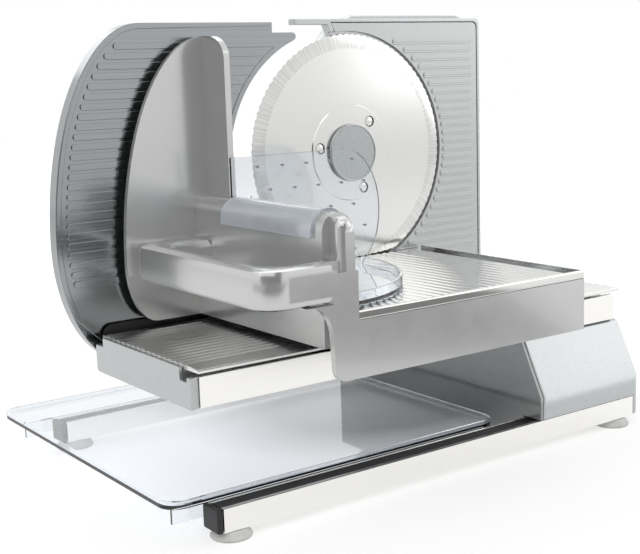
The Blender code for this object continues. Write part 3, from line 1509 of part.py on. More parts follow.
def guard_wall():
    """The arched wall on the carriage's left, hollow from below, with the post at its front."""
    back = -FIN_BACK - FIN_THICKNESS - GAP
    wall = sheet("guard_wall", [wall_section(0)], "Y", -WALL_FRONT, back, "light grey plastic")
    hollow = sheet(
        "wall hollow",
        [wall_section(WALL_THICKNESS)],
        "Y",
        -WALL_FRONT + WALL_THICKNESS,
        back - WALL_THICKNESS,
    )
    cut(wall, hollow)
    post_back = -WALL_FRONT + SINK
    low = -WALL_BOTTOM
    outline = [
        (-CARRIAGE_FRONT + POST_TOP_RADIUS, -POST_TOP),
    ]
    outline += arc(
        (-CARRIAGE_FRONT + POST_TOP_RADIUS, -POST_TOP - POST_TOP_RADIUS),
        (POST_TOP_RADIUS, POST_TOP_RADIUS),
        90,
        180,
        ARC,
    )[1:]
    outline += [
        (-CARRIAGE_FRONT, -APRON_UPRIGHT_TOP + GAP),
        (-APRON_BACK + GAP, -APRON_UPRIGHT_TOP + GAP),
        (-APRON_BACK + GAP, low),
        (post_back, low),
        (post_back, -POST_TOP),
    ]
    post_left = -WALL_CENTRE - POST_HALF_WIDTH
    post = sheet("wall post", [outline], "X", post_left, -WALL_CENTRE + POST_HALF_WIDTH)
    fuse(wall, post)
    smooth(wall)


def guard_fin():
    """The tall thumb guard: a plate across the carriage's end with a thin wall along its edge."""
    waist = -FIN_WAIST
    upper = (-FIN_TOP_X, waist)
    lower = (-FIN_FOOT_X, waist)
    outline = [(-FIN_RIGHT, -FIN_BOTTOM), (-FIN_RIGHT, FIN_TOP)]
    outline += arc(upper, (FIN_LEFT - FIN_TOP_X, FIN_TOP - waist), 90, 180, LONG_ARC)
    outline += arc(lower, (FIN_LEFT - FIN_FOOT_X, FIN_BOTTOM - FIN_WAIST), 180, 270, ARC)[1:]
    back = -FIN_BACK
    front = back - FIN_THICKNESS
    fin = sheet("guard_fin", [outline], "Y", front, back, "light grey plastic")
    low = -WALL_TOP + GAP
    corner = (-STRIP_FRONT + STRIP_CORNER_DEPTH, FIN_TOP - STRIP_CORNER_HEIGHT)
    edge = [(-STRIP_FRONT, low), (back, low), (back, FIN_TOP)]
    edge += arc(corner, (STRIP_CORNER_DEPTH, STRIP_CORNER_HEIGHT), 90, 180, ARC)
    strip = sheet("fin edge wall", [edge], "X", -FIN_RIGHT - STRIP_THICKNESS, -FIN_RIGHT + SINK)
    fuse(fin, strip)
    smooth(fin)


def carriage_table():
    """The stainless table: ribs from front to back, a raised lip at the right and along the front."""
    left = -TABLE_LEFT
    start = left + TABLE_RIB_MARGIN
    top = ribbed_edge(
        start, TABLE_RIB_PITCH, TABLE_RIBS, TABLE_RIB_WIDTH, TABLE_RIB_CREST, -TABLE_TOP, TABLE_RIB_PROUD
    )
    lip = TABLE_RIGHT - TABLE_LIP_WIDTH
    outline = [
        (left, -TABLE_UNDERSIDE),
        (TABLE_RIGHT, -TABLE_UNDERSIDE),
        (TABLE_RIGHT, -TABLE_TOP + TABLE_LIP_RISE),
        (lip, -TABLE_TOP + TABLE_LIP_RISE),
        (lip, -TABLE_TOP),
    ]
    outline += list(reversed(top))
    outline += [(left, -TABLE_TOP)]
    front = -CARRIAGE_FRONT + TABLE_LIP_WIDTH / 2
    table = sheet("carriage_table", [outline], "Y", front, -TABLE_BACK, "polished steel")
    fold = block(
        "table front lip",
        (left, TABLE_RIGHT),
        (-CARRIAGE_FRONT, -CARRIAGE_FRONT + TABLE_LIP_WIDTH),
        (-TABLE_TOP - TABLE_LIP_DROP, -TABLE_TOP + TABLE_LIP_RISE),
    )
    fuse(table, fold)


def slide_outline():
    """The carriage's slide end on: a plate under the table with a hooked foot in each groove."""
    top = -TABLE_UNDERSIDE - GAP
    under = top - SLIDE_PLATE
    front = -APRON_BACK + SLIDE_FRONT_SETBACK
    leg = front + SLIDE_LEG
    tongue_top = -DECK_UNDERSIDE - (FRONT_LIP_GAP - SLIDE_TONGUE) / 2
    tongue_low = tongue_top - SLIDE_TONGUE
    foot_front = -BODY_FRONT + BEAM_FRONT_WALL + RUN
    foot_back = foot_front + SLIDE_FOOT_FRONT
    foot_low = -FRONT_GROOVE_FLOOR + RUN
    back = -SLIDE_BACK
    back_leg = back - SLIDE_LEG
    hook_top = -DECK_UNDERSIDE - RUN
    hook_low = hook_top - SLIDE_FOOT_THICKNESS
    hook_front = back_leg - SLIDE_FOOT_REACH + RUN
    return [
        (front, top),
        (front, tongue_low),
        (foot_front, tongue_low),
        (foot_front, foot_low),
        (foot_back, foot_low),
        (foot_back, tongue_top),
        (leg, tongue_top),
        (leg, under),
        (back_leg, under),
        (back_leg, hook_top),
        (hook_front, hook_top),
        (hook_front, hook_low),
        (back, hook_low),
        (back, under),
        (back, top),
    ]


def carriage_slide():
    """The slide: one profile along the carriage's travel."""
    sheet("carriage_slide", [slide_outline()], "X", -SLIDE_LEFT, SLIDE_RIGHT, "black plastic")


def holder_sleeve():
    """The saddle over the carriage's wall, open below."""
    half = WALL_HALF_WIDTH + GAP
    outer = half + HOLDER_WALL
    middle = -WALL_CENTRE
    spring = -WALL_TOP - WALL_HALF_WIDTH
    low = -HOLDER_SKIRT - HOLDER_WALL
    points = [(middle + half, low), (middle + outer, low)]
    points += arc((middle, spring), (outer, outer), 0, 180, ARC)
    points += [(middle - outer, low), (middle - half, low)]
    points += arc((middle, spring), (half, half), 180, 0, ARC)
    return points


def holder_plate_outline():
    """The upright plate: rounded upper right corner, drawn in towards its foot."""
    left = -WALL_CENTRE + WALL_HALF_WIDTH + GAP
    upper = (-HOLDER_RIGHT - HOLDER_CORNER_X, HOLDER_TOP - HOLDER_CORNER_Z - HOLDER_WAIST / 2)
    points = [(left, HOLDER_TOP)]
    points += arc(upper, (HOLDER_CORNER_X, HOLDER_TOP - upper[1]), 90, 0, ARC)
    foot = -TABLE_TOP + GAP + TABLE_RIB_PROUD
    points += [(-HOLDER_RIGHT, -HOLDER_WAIST)]
    points += arc(
        (-HOLDER_FOOT_X, -HOLDER_WAIST),
        (HOLDER_FOOT_X - HOLDER_RIGHT, HOLDER_SHELF_TOP - HOLDER_WAIST),
        0,
        -60,
        ARC // 2,
    )[1:]
    points += [(-HOLDER_FOOT_X, foot), (left, foot)]
    return points


def remnant_holder():
    """The clear holder as a saddle on the wall, a spiked plate behind it and a dished shelf."""
    back = -HOLDER_PLATE
    front = back - HOLDER_PLATE_THICKNESS
    sheet("holder_saddle", [holder_sleeve()], "Y", -HOLDER_FRONT, front - GAP, "clear plastic")
    plate = sheet("holder_plate", [holder_plate_outline()], "Y", front, back, "clear plastic")
    fuse(plate, holder_spikes(back))
    holder_shelf(front - GAP)


def holder_shelf(back):
    """The shelf at the plate's foot: a quarter ellipse with a raised rim."""
    left = -WALL_CENTRE + WALL_HALF_WIDTH + GAP
    foot = -TABLE_TOP + GAP + TABLE_RIB_PROUD
    top = -HOLDER_SHELF_TOP
    outline = [(left, back)]
    outline += arc((left, back), (HOLDER_SHELF_LENGTH, HOLDER_SHELF_DEPTH), 0, -90, LONG_ARC)
    shelf = sheet("holder_shelf", [outline], "Z", foot, top, "clear plastic")
    reach = HOLDER_SHELF_LENGTH - HOLDER_PLATE_THICKNESS
    depth = HOLDER_SHELF_DEPTH - HOLDER_PLATE_THICKNESS
    inner = [(left - OVERRUN, back + OVERRUN), (left + reach, back + OVERRUN)]
    inner += arc((left, back), (reach, depth), 0, -90, LONG_ARC)
    inner += [(left - OVERRUN, back - depth)]
    dish = sheet("holder shelf hollow", [inner], "Z", foot + HOLDER_SHELF_FLOOR, top + OVERRUN)
    cut(shelf, dish)


def holder_spikes(face):
    """Rows of small spikes on the plate's side that faces the blade, every other row shifted."""
    work = bmesh.new()
    for row in range(SPIKE_ROWS):
        height = -SPIKE_TOP_ROW - SPIKE_ROW_PITCH * row
        shift = SPIKE_PITCH / 2 if row % 2 else 0
        for spike in range(SPIKES_PER_ROW - row % 2):
            across = -SPIKE_RIGHT - shift - SPIKE_PITCH * spike
            made = bmesh.ops.create_cone(
                work, cap_ends=True, segments=4, radius1=SPIKE_RADIUS, radius2=0, depth=SPIKE_LENGTH + SINK
            )["verts"]
            bmesh.ops.transform(work, matrix=Matrix.Rotation(-pi / 2, 4, "X"), verts=made)
            middle = face + (SPIKE_LENGTH - SINK) / 2
            bmesh.ops.translate(work, vec=(across, middle, height), verts=made)
    bmesh.ops.remove_doubles(work, verts=work.verts, dist=MERGE)
    return place("holder spikes", mesh_from("holder spikes", work))


def build():
    """Make every sub-part, from the blade outwards."""
    blade()
    blade_lock()
    spindle()
    spindle_bushes()
    worm_wheel()
    worm()
    motor()
    housing_frame()
    face_plate()
    motor_housing()
    button("power_button", POWER_RADIUS, POWER_Z, "light grey plastic")
    button("lockout_button", LOCKOUT_RADIUS, LOCKOUT_Z, "black plastic")
    stop_plate()
    guide_rods()
    yoke()
    thickness_screw()
    thickness_knob()
    beam_body()
    beam_panel()
    beam_end_cap()
    beam_deck()
    beam_upstand()
    base_shell()
    base_side_cover()
    mains_inlet()
    rails()
    feet()
    tray()
    apron()
    grip()
    guard_wall()
    guard_fin()
    carriage_table()
    carriage_slide()
    remnant_holder()


clear_scene()
PARTS = collection(OBJECT_NAME)
CUTTERS = collection("cutters")
CENTRE = bpy.data.objects.new("blade_axis", None)
PARTS.objects.link(CENTRE)
CENTRE.location = (AXIS_X, AXIS_Y, FLOOR)
build()
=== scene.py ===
from math import cos, pi, radians, sin

import bmesh
import bpy
from mathutils import Matrix, Vector


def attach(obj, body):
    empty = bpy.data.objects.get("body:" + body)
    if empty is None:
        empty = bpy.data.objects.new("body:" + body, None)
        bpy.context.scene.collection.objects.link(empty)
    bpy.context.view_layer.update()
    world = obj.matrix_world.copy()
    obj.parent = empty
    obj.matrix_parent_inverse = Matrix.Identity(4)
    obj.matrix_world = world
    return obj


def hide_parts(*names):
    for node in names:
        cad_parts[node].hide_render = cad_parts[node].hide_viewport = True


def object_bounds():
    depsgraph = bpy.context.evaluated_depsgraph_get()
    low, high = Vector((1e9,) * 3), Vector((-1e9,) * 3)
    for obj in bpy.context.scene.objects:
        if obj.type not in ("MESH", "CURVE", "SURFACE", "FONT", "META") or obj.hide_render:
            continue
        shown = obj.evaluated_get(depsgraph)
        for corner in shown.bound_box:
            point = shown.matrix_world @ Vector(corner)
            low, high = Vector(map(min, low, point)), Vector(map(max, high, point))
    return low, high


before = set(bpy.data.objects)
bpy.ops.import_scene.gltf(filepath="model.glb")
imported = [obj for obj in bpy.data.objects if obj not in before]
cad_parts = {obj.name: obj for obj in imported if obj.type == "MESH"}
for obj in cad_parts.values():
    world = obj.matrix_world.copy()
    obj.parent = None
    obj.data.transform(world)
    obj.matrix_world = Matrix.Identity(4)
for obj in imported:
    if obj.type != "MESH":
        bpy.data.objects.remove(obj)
cad_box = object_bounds()

MM = 0.001
scene = bpy.context.scene

# Places that several pieces share, in metres, in the frame that the CAD shares.
BLADE_AXIS = Vector((0.0394, 0.0195, 0.203))
STOP_FACE_Y = BLADE_AXIS.y + 0.0023
CASE_BACK_Y = 0.0875
BASE_BACK_Y = 0.1105
KNOB_AXIS = Vector((0.1344, BASE_BACK_Y, 0.0838))


# Camera

def set_camera():
    """The camera stands where the photograph was taken from."""
    lens = bpy.data.cameras.new("photo_camera")
    lens.sensor_width = 36
    lens.lens = 66.7075
    camera = bpy.data.objects.new("photo_camera", lens)
    camera.location = (-0.48430537, -0.67458384, 0.26399627)
    camera.rotation_mode = "QUATERNION"
    camera.rotation_quaternion = (0.7257117637, 0.6156767948, -0.1855488520, -0.2446551530)
    scene.collection.objects.link(camera)
    scene.camera = camera


# Materials

def linear(hex_colour):
    """An sRGB hex colour as the linear colour that a shader reads."""
    parts = [int(hex_colour[i:i + 2], 16) / 255 for i in (1, 3, 5)]
    return [c / 12.92 if c <= 0.04045 else ((c + 0.055) / 1.055) ** 2.4 for c in parts] + [1.0]


def add(tree, kind, values=None, links=None, **settings):
    """Adds one node with its settings, its socket values and its incoming links."""
    made = tree.nodes.new(kind)
    for name, value in settings.items():
        setattr(made, name, value)
    for name, value in (values or {}).items():
        made.inputs[name].default_value = value
    for name, source in (links or {}).items():
        tree.links.new(source, made.inputs[name])
    return made


def start_finish(name, hex_colour, roughness, metallic=0.0, **sockets):
    """A new material with its shader set, as (material, tree, shader, place on the object)."""
    material = bpy.data.materials.new(name)
    material.use_nodes = True
    tree = material.node_tree
    tree.nodes.clear()
    place = add(tree, "ShaderNodeTexCoord").outputs["Object"]
    values = {"Base Color": linear(hex_colour), "Roughness": roughness, "Metallic": metallic}
    values.update({key.replace("_", " "): value for key, value in sockets.items()})
    shader = add(tree, "ShaderNodeBsdfPrincipled", values)
    add(tree, "ShaderNodeOutputMaterial", links={"Surface": shader.outputs[0]})
    return material, tree, shader, place


def grain(tree, place, size_mm, stretch=(1, 1, 1), detail=3.0):
    """Noise whose cells are about size_mm across, drawn out where stretch is below 1."""
    drawn = add(tree, "ShaderNodeMapping", {"Scale": stretch}, {"Vector": place})
    values = {"Scale": 1 / (size_mm * MM), "Detail": detail, "Roughness": 0.55}
    return add(tree, "ShaderNodeTexNoise", values, {"Vector": drawn.outputs[0]}).outputs[0]


def spread(tree, shader, socket, source, low, high, pick=(0.35, 0.65)):
    """The socket goes from low to high with the source."""
    values = {"From Min": pick[0], "From Max": pick[1], "To Min": low, "To Max": high}
    ranged = add(tree, "ShaderNodeMapRange", values, {"Value": source})
    tree.links.new(ranged.outputs[0], shader.inputs[socket])


def shade(tree, shader, source, low_hex, high_hex, pick=(0.35, 0.65)):
    """The base colour goes from one colour to the other with the source."""
    ramp = add(tree, "ShaderNodeValToRGB", links={"Fac": source})
    for stop, place, colour in zip(ramp.color_ramp.elements, pick, (low_hex, high_hex)):
        stop.position = place
        stop.color = linear(colour)
    tree.links.new(ramp.outputs[0], shader.inputs["Base Color"])


def relief(tree, shader, source, depth_mm, strength=1.0):
    """The surface rises and falls by depth_mm with the source."""
    values = {"Strength": strength, "Distance": depth_mm * MM}
    bump = add(tree, "ShaderNodeBump", values, {"Height": source})
    tree.links.new(bump.outputs[0], shader.inputs["Normal"])


def silver_lacquer(name, colours, roughness, metallic, coat):
    """Silver lacquer on moulded ABS: metal flake under a clear coat, so it mirrors what is near."""
    coating = {"Coat_Weight": coat, "Coat_Roughness": 0.03}
    made, tree, shader, place = start_finish(name, colours[0], roughness[0], metallic, **coating)
    # Real flake is 0.03 mm, too fine to show, so it is drawn at 0.5 mm.
    shade(tree, shader, grain(tree, place, 0.5, detail=2.0), *colours)
    spread(tree, shader, "Roughness", grain(tree, place, 9), *roughness)
    relief(tree, shader, grain(tree, place, 25, detail=1.0), 0.004, 0.06)
    return made


def pearl_powder_coat():
    """Pearl grey powder coat on pressed aluminium: satin, with the fine texture of cured powder."""
    made, tree, shader, place = start_finish("pearl_powder_coat", "#c3c5c5", 0.34, 0.6)
    cured = grain(tree, place, 0.6)
    shade(tree, shader, cured, "#c1c3c3", "#c6c8c8")
    spread(tree, shader, "Roughness", cured, 0.3, 0.38)
    relief(tree, shader, cured, 0.001, 0.15)
    return made


def grey_anodised():
    """Pressed aluminium, anodised grey over a polish: it mirrors softly, with faint rolling lines."""
    made, tree, shader, place = start_finish("grey_anodised_plate", "#a9acad", 0.16, 1.0)
    lines = grain(tree, place, 0.7, (0.003, 1, 1))
    shade(tree, shader, lines, "#9b9ea0", "#a2a5a7")
    spread(tree, shader, "Roughness", lines, 0.14, 0.2)
    relief(tree, shader, lines, 0.001, 0.15)
    return made


def ground_stainless():
    """Stainless steel ground on a wheel: rings round the axis, and a rim ground across its teeth."""
    made, tree, shader, place = start_finish("ground_stainless", "#e9e9e7", 0.16, 1.0)
    centred = add(tree, "ShaderNodeMapping", {"Location": -BLADE_AXIS}, {"Vector": place})
    links = {0: centred.outputs[0]}
    flat = add(tree, "ShaderNodeVectorMath", {1: (1, 0, 1)}, links, operation="MULTIPLY")
    links = {0: flat.outputs[0]}
    radius = add(tree, "ShaderNodeVectorMath", links=links, operation="LENGTH").outputs["Value"]
    # Real grinding lines are 0.05 mm apart, drawn at 0.5 mm to show.
    values = {"Scale": 2000.0, "Detail": 4.0}
    rings = add(tree, "ShaderNodeTexNoise", values, {"W": radius}, noise_dimensions="1D").outputs[0]
    # The rim's marks run out from the axis, as noise round a circle of 1 m does.
    outward = add(tree, "ShaderNodeVectorMath", links=links, operation="NORMALIZE").outputs[0]
    values = {"Scale": 60.0, "Detail": 2.0}
    marks = add(tree, "ShaderNodeTexNoise", values, {"Vector": outward}).outputs[0]
    values = {"From Min": 0.0742, "From Max": 0.0752}
    rim = add(tree, "ShaderNodeMapRange", values, {"Value": radius}).outputs[0]
    values = {"From Min": 0.35, "From Max": 0.65, "To Min": 0.88, "To Max": 1.0}
    body = add(tree, "ShaderNodeMapRange", values, {"Value": rings}).outputs[0]
    values = {"From Min": 0.4, "From Max": 0.6, "To Min": 0.35, "To Max": 0.75}
    across = add(tree, "ShaderNodeMapRange", values, {"Value": marks}).outputs[0]
    level = add(tree, "ShaderNodeMix", links={0: rim, 2: body, 3: across}).outputs[0]
    shade(tree, shader, level, "#bebebc", "#e0e0de", (0.0, 1.0))
    spread(tree, shader, "Roughness", rings, 0.14, 0.2)
    relief(tree, shader, rings, 0.001, 0.2)
    return made


def polished_stainless(name, along, roughness, colours):
    """Rolled and polished stainless sheet: near a mirror, with faint lines along the rolling."""
    made, tree, shader, place = start_finish(name, colours[0], roughness[0], 1.0)
    stretch = [1, 1, 1]
    stretch["XYZ".index(along)] = 0.002
    lines = grain(tree, place, 0.8, stretch)
    shade(tree, shader, lines, *colours)
    spread(tree, shader, "Roughness", lines, *roughness)
    relief(tree, shader, lines, 0.001, 0.12)
    return made


def turned_steel():
    """Plain turned steel: rods, spindle and screw, with fine tool lines across their length."""
    made, tree, shader, place = start_finish("turned_steel", "#a6a6a3", 0.28, 1.0)
    lines = grain(tree, place, 0.4, (0.1, 1, 0.1))
    shade(tree, shader, lines, "#9a9a97", "#b2b2af")
    spread(tree, shader, "Roughness", lines, 0.2, 0.36)
    relief(tree, shader, lines, 0.01, 0.5)
    return made


def zinc_plate():
    """Zinc-plated steel: cool grey with a faint cloudy bloom."""
    made, tree, shader, place = start_finish("zinc_plate", "#b4b8ba", 0.32, 1.0)
    bloom = grain(tree, place, 4)
    shade(tree, shader, bloom, "#a7abad", "#bdc1c3")
    spread(tree, shader, "Roughness", bloom, 0.26, 0.4)
    relief(tree, shader, grain(tree, place, 0.5), 0.004, 0.4)
    return made


def extruded_aluminium():
    """Satin anodised extrusion: fine die lines along its length."""
    made, tree, shader, place = start_finish("anodised_extrusion", "#b9bbbb", 0.34, 1.0)
    lines = grain(tree, place, 0.8, (0.003, 1, 1))
    shade(tree, shader, lines, "#b4b6b6", "#bfc1c1")
    spread(tree, shader, "Roughness", lines, 0.28, 0.4)
    relief(tree, shader, lines, 0.003, 0.3)
    return made


def satin_abs(name, low_hex, high_hex):
    """Satin ABS: moulded against a fine spark-eroded tool face, so its gloss is soft."""
    made, tree, shader, place = start_finish(name, low_hex, 0.42, 0.0)
    eroded = grain(tree, place, 0.5)
    shade(tree, shader, grain(tree, place, 12), low_hex, high_hex)
    spread(tree, shader, "Roughness", eroded, 0.36, 0.48)
    relief(tree, shader, eroded, 0.006, 0.4)
    return made


def grey_gloss_abs():
    """Mid grey high-gloss ABS: deep colour under a clean reflection, faint wipe marks."""
    coating = {"Coat_Weight": 0.3, "Coat_Roughness": 0.04}
    made, tree, shader, place = start_finish("grey_gloss_abs", "#a6a9a9", 0.14, 0.3, **coating)
    shade(tree, shader, grain(tree, place, 6), "#a5a8a8", "#a8abab")
    spread(tree, shader, "Roughness", grain(tree, place, 4, (1, 1, 0.3)), 0.12, 0.18)
    relief(tree, shader, grain(tree, place, 16, detail=1.0), 0.006, 0.2)
    return made


def black_abs():
    """Black moulded ABS: fine grained texture that breaks up its reflection."""
    made, tree, shader, place = start_finish("black_abs", "#1b1b1d", 0.42, 0.0)
    leather = grain(tree, place, 0.5)
    shade(tree, shader, leather, "#161618", "#212124")
    spread(tree, shader, "Roughness", leather, 0.34, 0.52)
    relief(tree, shader, leather, 0.015, 0.6)
    return made


def white_rubber():
    """White thermoplastic rubber: soft and matte, with light showing a little way in."""
    inner_light = {"Subsurface_Weight": 0.15, "Subsurface_Scale": 0.002}
    made, tree, shader, place = start_finish("white_rubber", "#e6e6e2", 0.55, **inner_light)
    shade(tree, shader, grain(tree, place, 5), "#e0e0dc", "#eaeae7")
    spread(tree, shader, "Roughness", grain(tree, place, 1), 0.48, 0.62)
    relief(tree, shader, grain(tree, place, 0.5), 0.01, 0.5)
    return made


def white_ink():
    """White pad-printed ink: a thin, slightly raised film with a dry, even surface."""
    made, tree, shader, place = start_finish("white_ink", "#e8e8e6", 0.5, 0.0)
    shade(tree, shader, grain(tree, place, 0.6), "#e2e2e0", "#eeeeec")
    spread(tree, shader, "Roughness", grain(tree, place, 0.8), 0.42, 0.58)
    return made


def clear_styrene(name, clearness):
    """Clear SAN with a blue toner: colourless across its face, blue along its thick edges."""
    clear = {"Transmission_Weight": clearness, "IOR": 1.57}
    made, tree, shader, place = start_finish(name, "#f6f9fc", 0.02, **clear)
    spread(tree, shader, "Roughness", grain(tree, place, 8), 0.01, 0.04)
    relief(tree, shader, grain(tree, place, 18, detail=1.0), 0.006, 0.2)
    toner = add(tree, "ShaderNodeVolumeAbsorption", {"Color": linear("#a8b8e4"), "Density": 9.0})
    output = next(n for n in tree.nodes if n.type == "OUTPUT_MATERIAL")
    # A lamp's shadow passes through, because clear plastic throws almost none.
    path = add(tree, "ShaderNodeLightPath")
    through = add(tree, "ShaderNodeBsdfTransparent", {"Color": linear("#f0f2f6")})
    links = {0: path.outputs["Is Shadow Ray"], 1: shader.outputs[0], 2: through.outputs[0]}
    mixed = add(tree, "ShaderNodeMixShader", links=links)
    tree.links.new(mixed.outputs[0], output.inputs["Surface"])
    tree.links.new(toner.outputs[0], output.inputs["Volume"])
    return made


def sintered_bronze():
    """Sintered bronze: dull brown-gold with the pores that hold its oil."""
    made, tree, shader, place = start_finish("sintered_bronze", "#a5814f", 0.4, 1.0)
    pores = grain(tree, place, 0.35)
    shade(tree, shader, pores, "#8a6a3e", "#b08b58")
    spread(tree, shader, "Roughness", pores, 0.34, 0.5)
    relief(tree, shader, pores, 0.02, 0.6)
    return made


def natural_nylon():
    """Natural nylon: waxy off-white, a little translucent, with faint moulding flow."""
    inner_light = {"Subsurface_Weight": 0.2, "Subsurface_Scale": 0.003}
    made, tree, shader, place = start_finish("natural_nylon", "#dcd6c6", 0.38, **inner_light)
    shade(tree, shader, grain(tree, place, 6), "#d6d0bf", "#e1dccd")
    spread(tree, shader, "Roughness", grain(tree, place, 1.5), 0.32, 0.45)
    relief(tree, shader, grain(tree, place, 0.6), 0.006, 0.4)
    return made


# Modifiers that the carried-over nodes get

def shade_by_angle():
    """A node group that joins no faces, shades all smooth, and keeps edges over 32 degrees sharp."""
    group = bpy.data.node_groups.new("shade_by_angle", "GeometryNodeTree")
    group.interface.new_socket("Geometry", in_out="INPUT", socket_type="NodeSocketGeometry")
    group.interface.new_socket("Geometry", in_out="OUTPUT", socket_type="NodeSocketGeometry")
    source = add(group, "NodeGroupInput").outputs[0]
    bare = add(group, "GeometryNodeRemoveAttribute", {"Name": "custom_normal"}, {"Geometry": source})
    smooth = add(group, "GeometryNodeSetShadeSmooth", {"Shade Smooth": True}, {"Geometry": bare.outputs[0]})
    edge = add(group, "GeometryNodeInputMeshEdgeAngle").outputs["Unsigned Angle"]
    sharp = add(group, "FunctionNodeCompare", {"B": radians(32)}, {"A": edge}, operation="GREATER_THAN")
    links = {"Geometry": smooth.outputs[0], "Selection": sharp.outputs[0]}
    creased = add(group, "GeometryNodeSetShadeSmooth", {"Shade Smooth": False}, links, domain="EDGE")
    add(group, "NodeGroupOutput", links={0: creased.outputs[0]})
    return group


def soften(piece, width_mm, group, segments=2):
    """Joins the node's triangles, rounds its edges by width_mm and shades it by angle."""
    weld = piece.modifiers.new("joined", "WELD")
    weld.merge_threshold = 1e-5
    flat = piece.modifiers.new("flat_faces", "DECIMATE")
    flat.decimate_type = "DISSOLVE"
    flat.angle_limit = radians(0.4)
    if width_mm:
        bevel = piece.modifiers.new("soft_edges", "BEVEL")
        bevel.width = width_mm * MM
        bevel.segments = segments
        bevel.limit_method = "ANGLE"
        bevel.angle_limit = radians(35)
        bevel.use_clamp_overlap = True
    by_angle = piece.modifiers.new("by_angle", "NODES")
    by_angle.node_group = group
    even = piece.modifiers.new("even_normals", "WEIGHTED_NORMAL")
    even.keep_sharp = True


# Pieces that the scene adds

def make_piece(name, bm, body, finish, even=True):
    """Turns a finished bmesh into a piece that moves with a body."""
    mesh = bpy.data.meshes.new(name)
    bm.to_mesh(mesh)
    bm.free()
    mesh.materials.append(finish)
    piece = bpy.data.objects.new(name, mesh)
    scene.collection.objects.link(piece)
    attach(piece, body)
    if even:
        weighted = piece.modifiers.new("even_normals", "WEIGHTED_NORMAL")
        weighted.keep_sharp = True
    return piece


def round_edges(bm, edges, offset, segments):
    """Rounds the edges by offset, in metres, and gives the new faces."""
    made = bmesh.ops.bevel(
        bm, geom=edges, offset=offset, offset_type="OFFSET", segments=segments,
        profile=0.5, affect="EDGES", material=-1, clamp_overlap=True,
    )
    return made["faces"]


def smooth_faces(bm, limit=32):
    """Shades the mesh smooth and keeps the edges sharper than limit, in degrees."""
    for face in bm.faces:
        face.smooth = True
    for edge in bm.edges:
        edge.smooth = len(edge.link_faces) == 2 and edge.calc_face_angle(0) < radians(limit)


def pressed_bar(width, proud):
    """One bar with round ends and a round crest, as pressed in sheet, along X and facing -Y."""
    bm = bmesh.new()
    bmesh.ops.create_cube(bm, size=1)
    bmesh.ops.scale(bm, verts=bm.verts, vec=(width * 1.5, proud * 2, width))
    upright = [e for e in bm.edges if abs((e.verts[0].co - e.verts[1].co).y) > proud]
    round_edges(bm, upright, width * 0.495, 6)
    crest = [e for e in bm.edges if max(v.co.y for v in e.verts) < -proud * 0.9]
    round_edges(bm, crest, proud * 0.95, 4)
    smooth_faces(bm)
    return bm


def everything(bm):
    """All of a bmesh, as its operators take it."""
    return list(bm.verts) + list(bm.edges) + list(bm.faces)


def verts_in(geom):
    """The vertices among what a bmesh operator takes or gives."""
    return [item for item in geom if isinstance(item, bmesh.types.BMVert)]


def repeat_bar(bm, bars):
    """Copies the one bar in bm for each (how far its ends move out, place), and takes it away."""
    first = everything(bm)
    for spare, place in bars:
        verts = verts_in(bmesh.ops.duplicate(bm, geom=first)["geom"])
        for side in (-1, 1):
            half = [v for v in verts if v.co.x * side > 0]
            bmesh.ops.translate(bm, verts=half, vec=(spare * side, 0, 0))
        bmesh.ops.translate(bm, verts=verts, vec=place)
    bmesh.ops.delete(bm, geom=verts_in(first), context="VERTS")


def bar_rows(name, rows, face_y, width, proud, body, finish):
    """A piece of pressed bars, each given as its left end, right end and height."""
    bm = pressed_bar(width, proud)
    bars = []
    for left, right, height in rows:
        bars.append(((right - left) / 2 - width * 0.75, ((left + right) / 2, face_y, height)))
    repeat_bar(bm, bars)
    make_piece(name, bm, body, finish)


def stop_bar_ends(height):
    """How far left and right a bar on the stop plate runs, from the blade's axis."""
    outer_left, bow, tall, waist = -0.2228, 0.0578, 0.1305, 0.045
    arc_middle, arc_radius, arc_drop = -0.0117, 0.0948, 0.0014
    if height < -waist:
        bow, tall = 0.0378, 0.072
    rise = (height + waist) / tall
    left = outer_left + bow * (1 - (1 - rise * rise) ** 0.5)
    right = arc_middle - (arc_radius ** 2 - (height + arc_drop) ** 2) ** 0.5
    return left, right


def plate_bars(anodised, pearl):
    """The pressed bars of the stop plate and of the plate beside the blade."""
    top = 0.079
    rows = []
    for bar in range(25):
        height = top - 0.0062 * bar
        left, right = stop_bar_ends(height)
        rows.append((BLADE_AXIS.x + left - 0.0006, BLADE_AXIS.x + right + 0.0006, BLADE_AXIS.z + height))
    bar_rows("stop_plate_bars", rows, STOP_FACE_Y, 0.0043, 0.00095, "stop", anodised)
    opening, right = 0.0895, 0.1209
    rows = []
    for bar in range(26):
        height = top - 0.0063 * bar
        start = (opening ** 2 - height ** 2) ** 0.5 if abs(height) < opening else 0.0
        rows.append((BLADE_AXIS.x + start, BLADE_AXIS.x + right, BLADE_AXIS.z + height))
    bar_rows("face_plate_bars", rows, BLADE_AXIS.y, 0.0046, 0.0006, "chassis", pearl)


def merged_copy(node):
    """A bmesh copy of a node with its loose triangles joined into whole faces."""
    bm = bmesh.new()
    bm.from_mesh(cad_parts[node].data)
    bmesh.ops.remove_doubles(bm, verts=bm.verts, dist=1e-5)
    bmesh.ops.dissolve_limit(bm, angle_limit=radians(0.4), verts=bm.verts, edges=bm.edges)
    return bm


def flat_outline(edges):
    """A new bmesh with one face, whose rim is these edges laid flat at y = 0."""
    bm = bmesh.new()
    laid = {}
    for edge in edges:
        for v in edge.verts:
            if v not in laid:
                laid[v] = bm.verts.new((v.co.x, 0, v.co.z))
        bm.edges.new([laid[v] for v in edge.verts])
    bmesh.ops.contextual_create(bm, geom=list(bm.edges))
    return bm


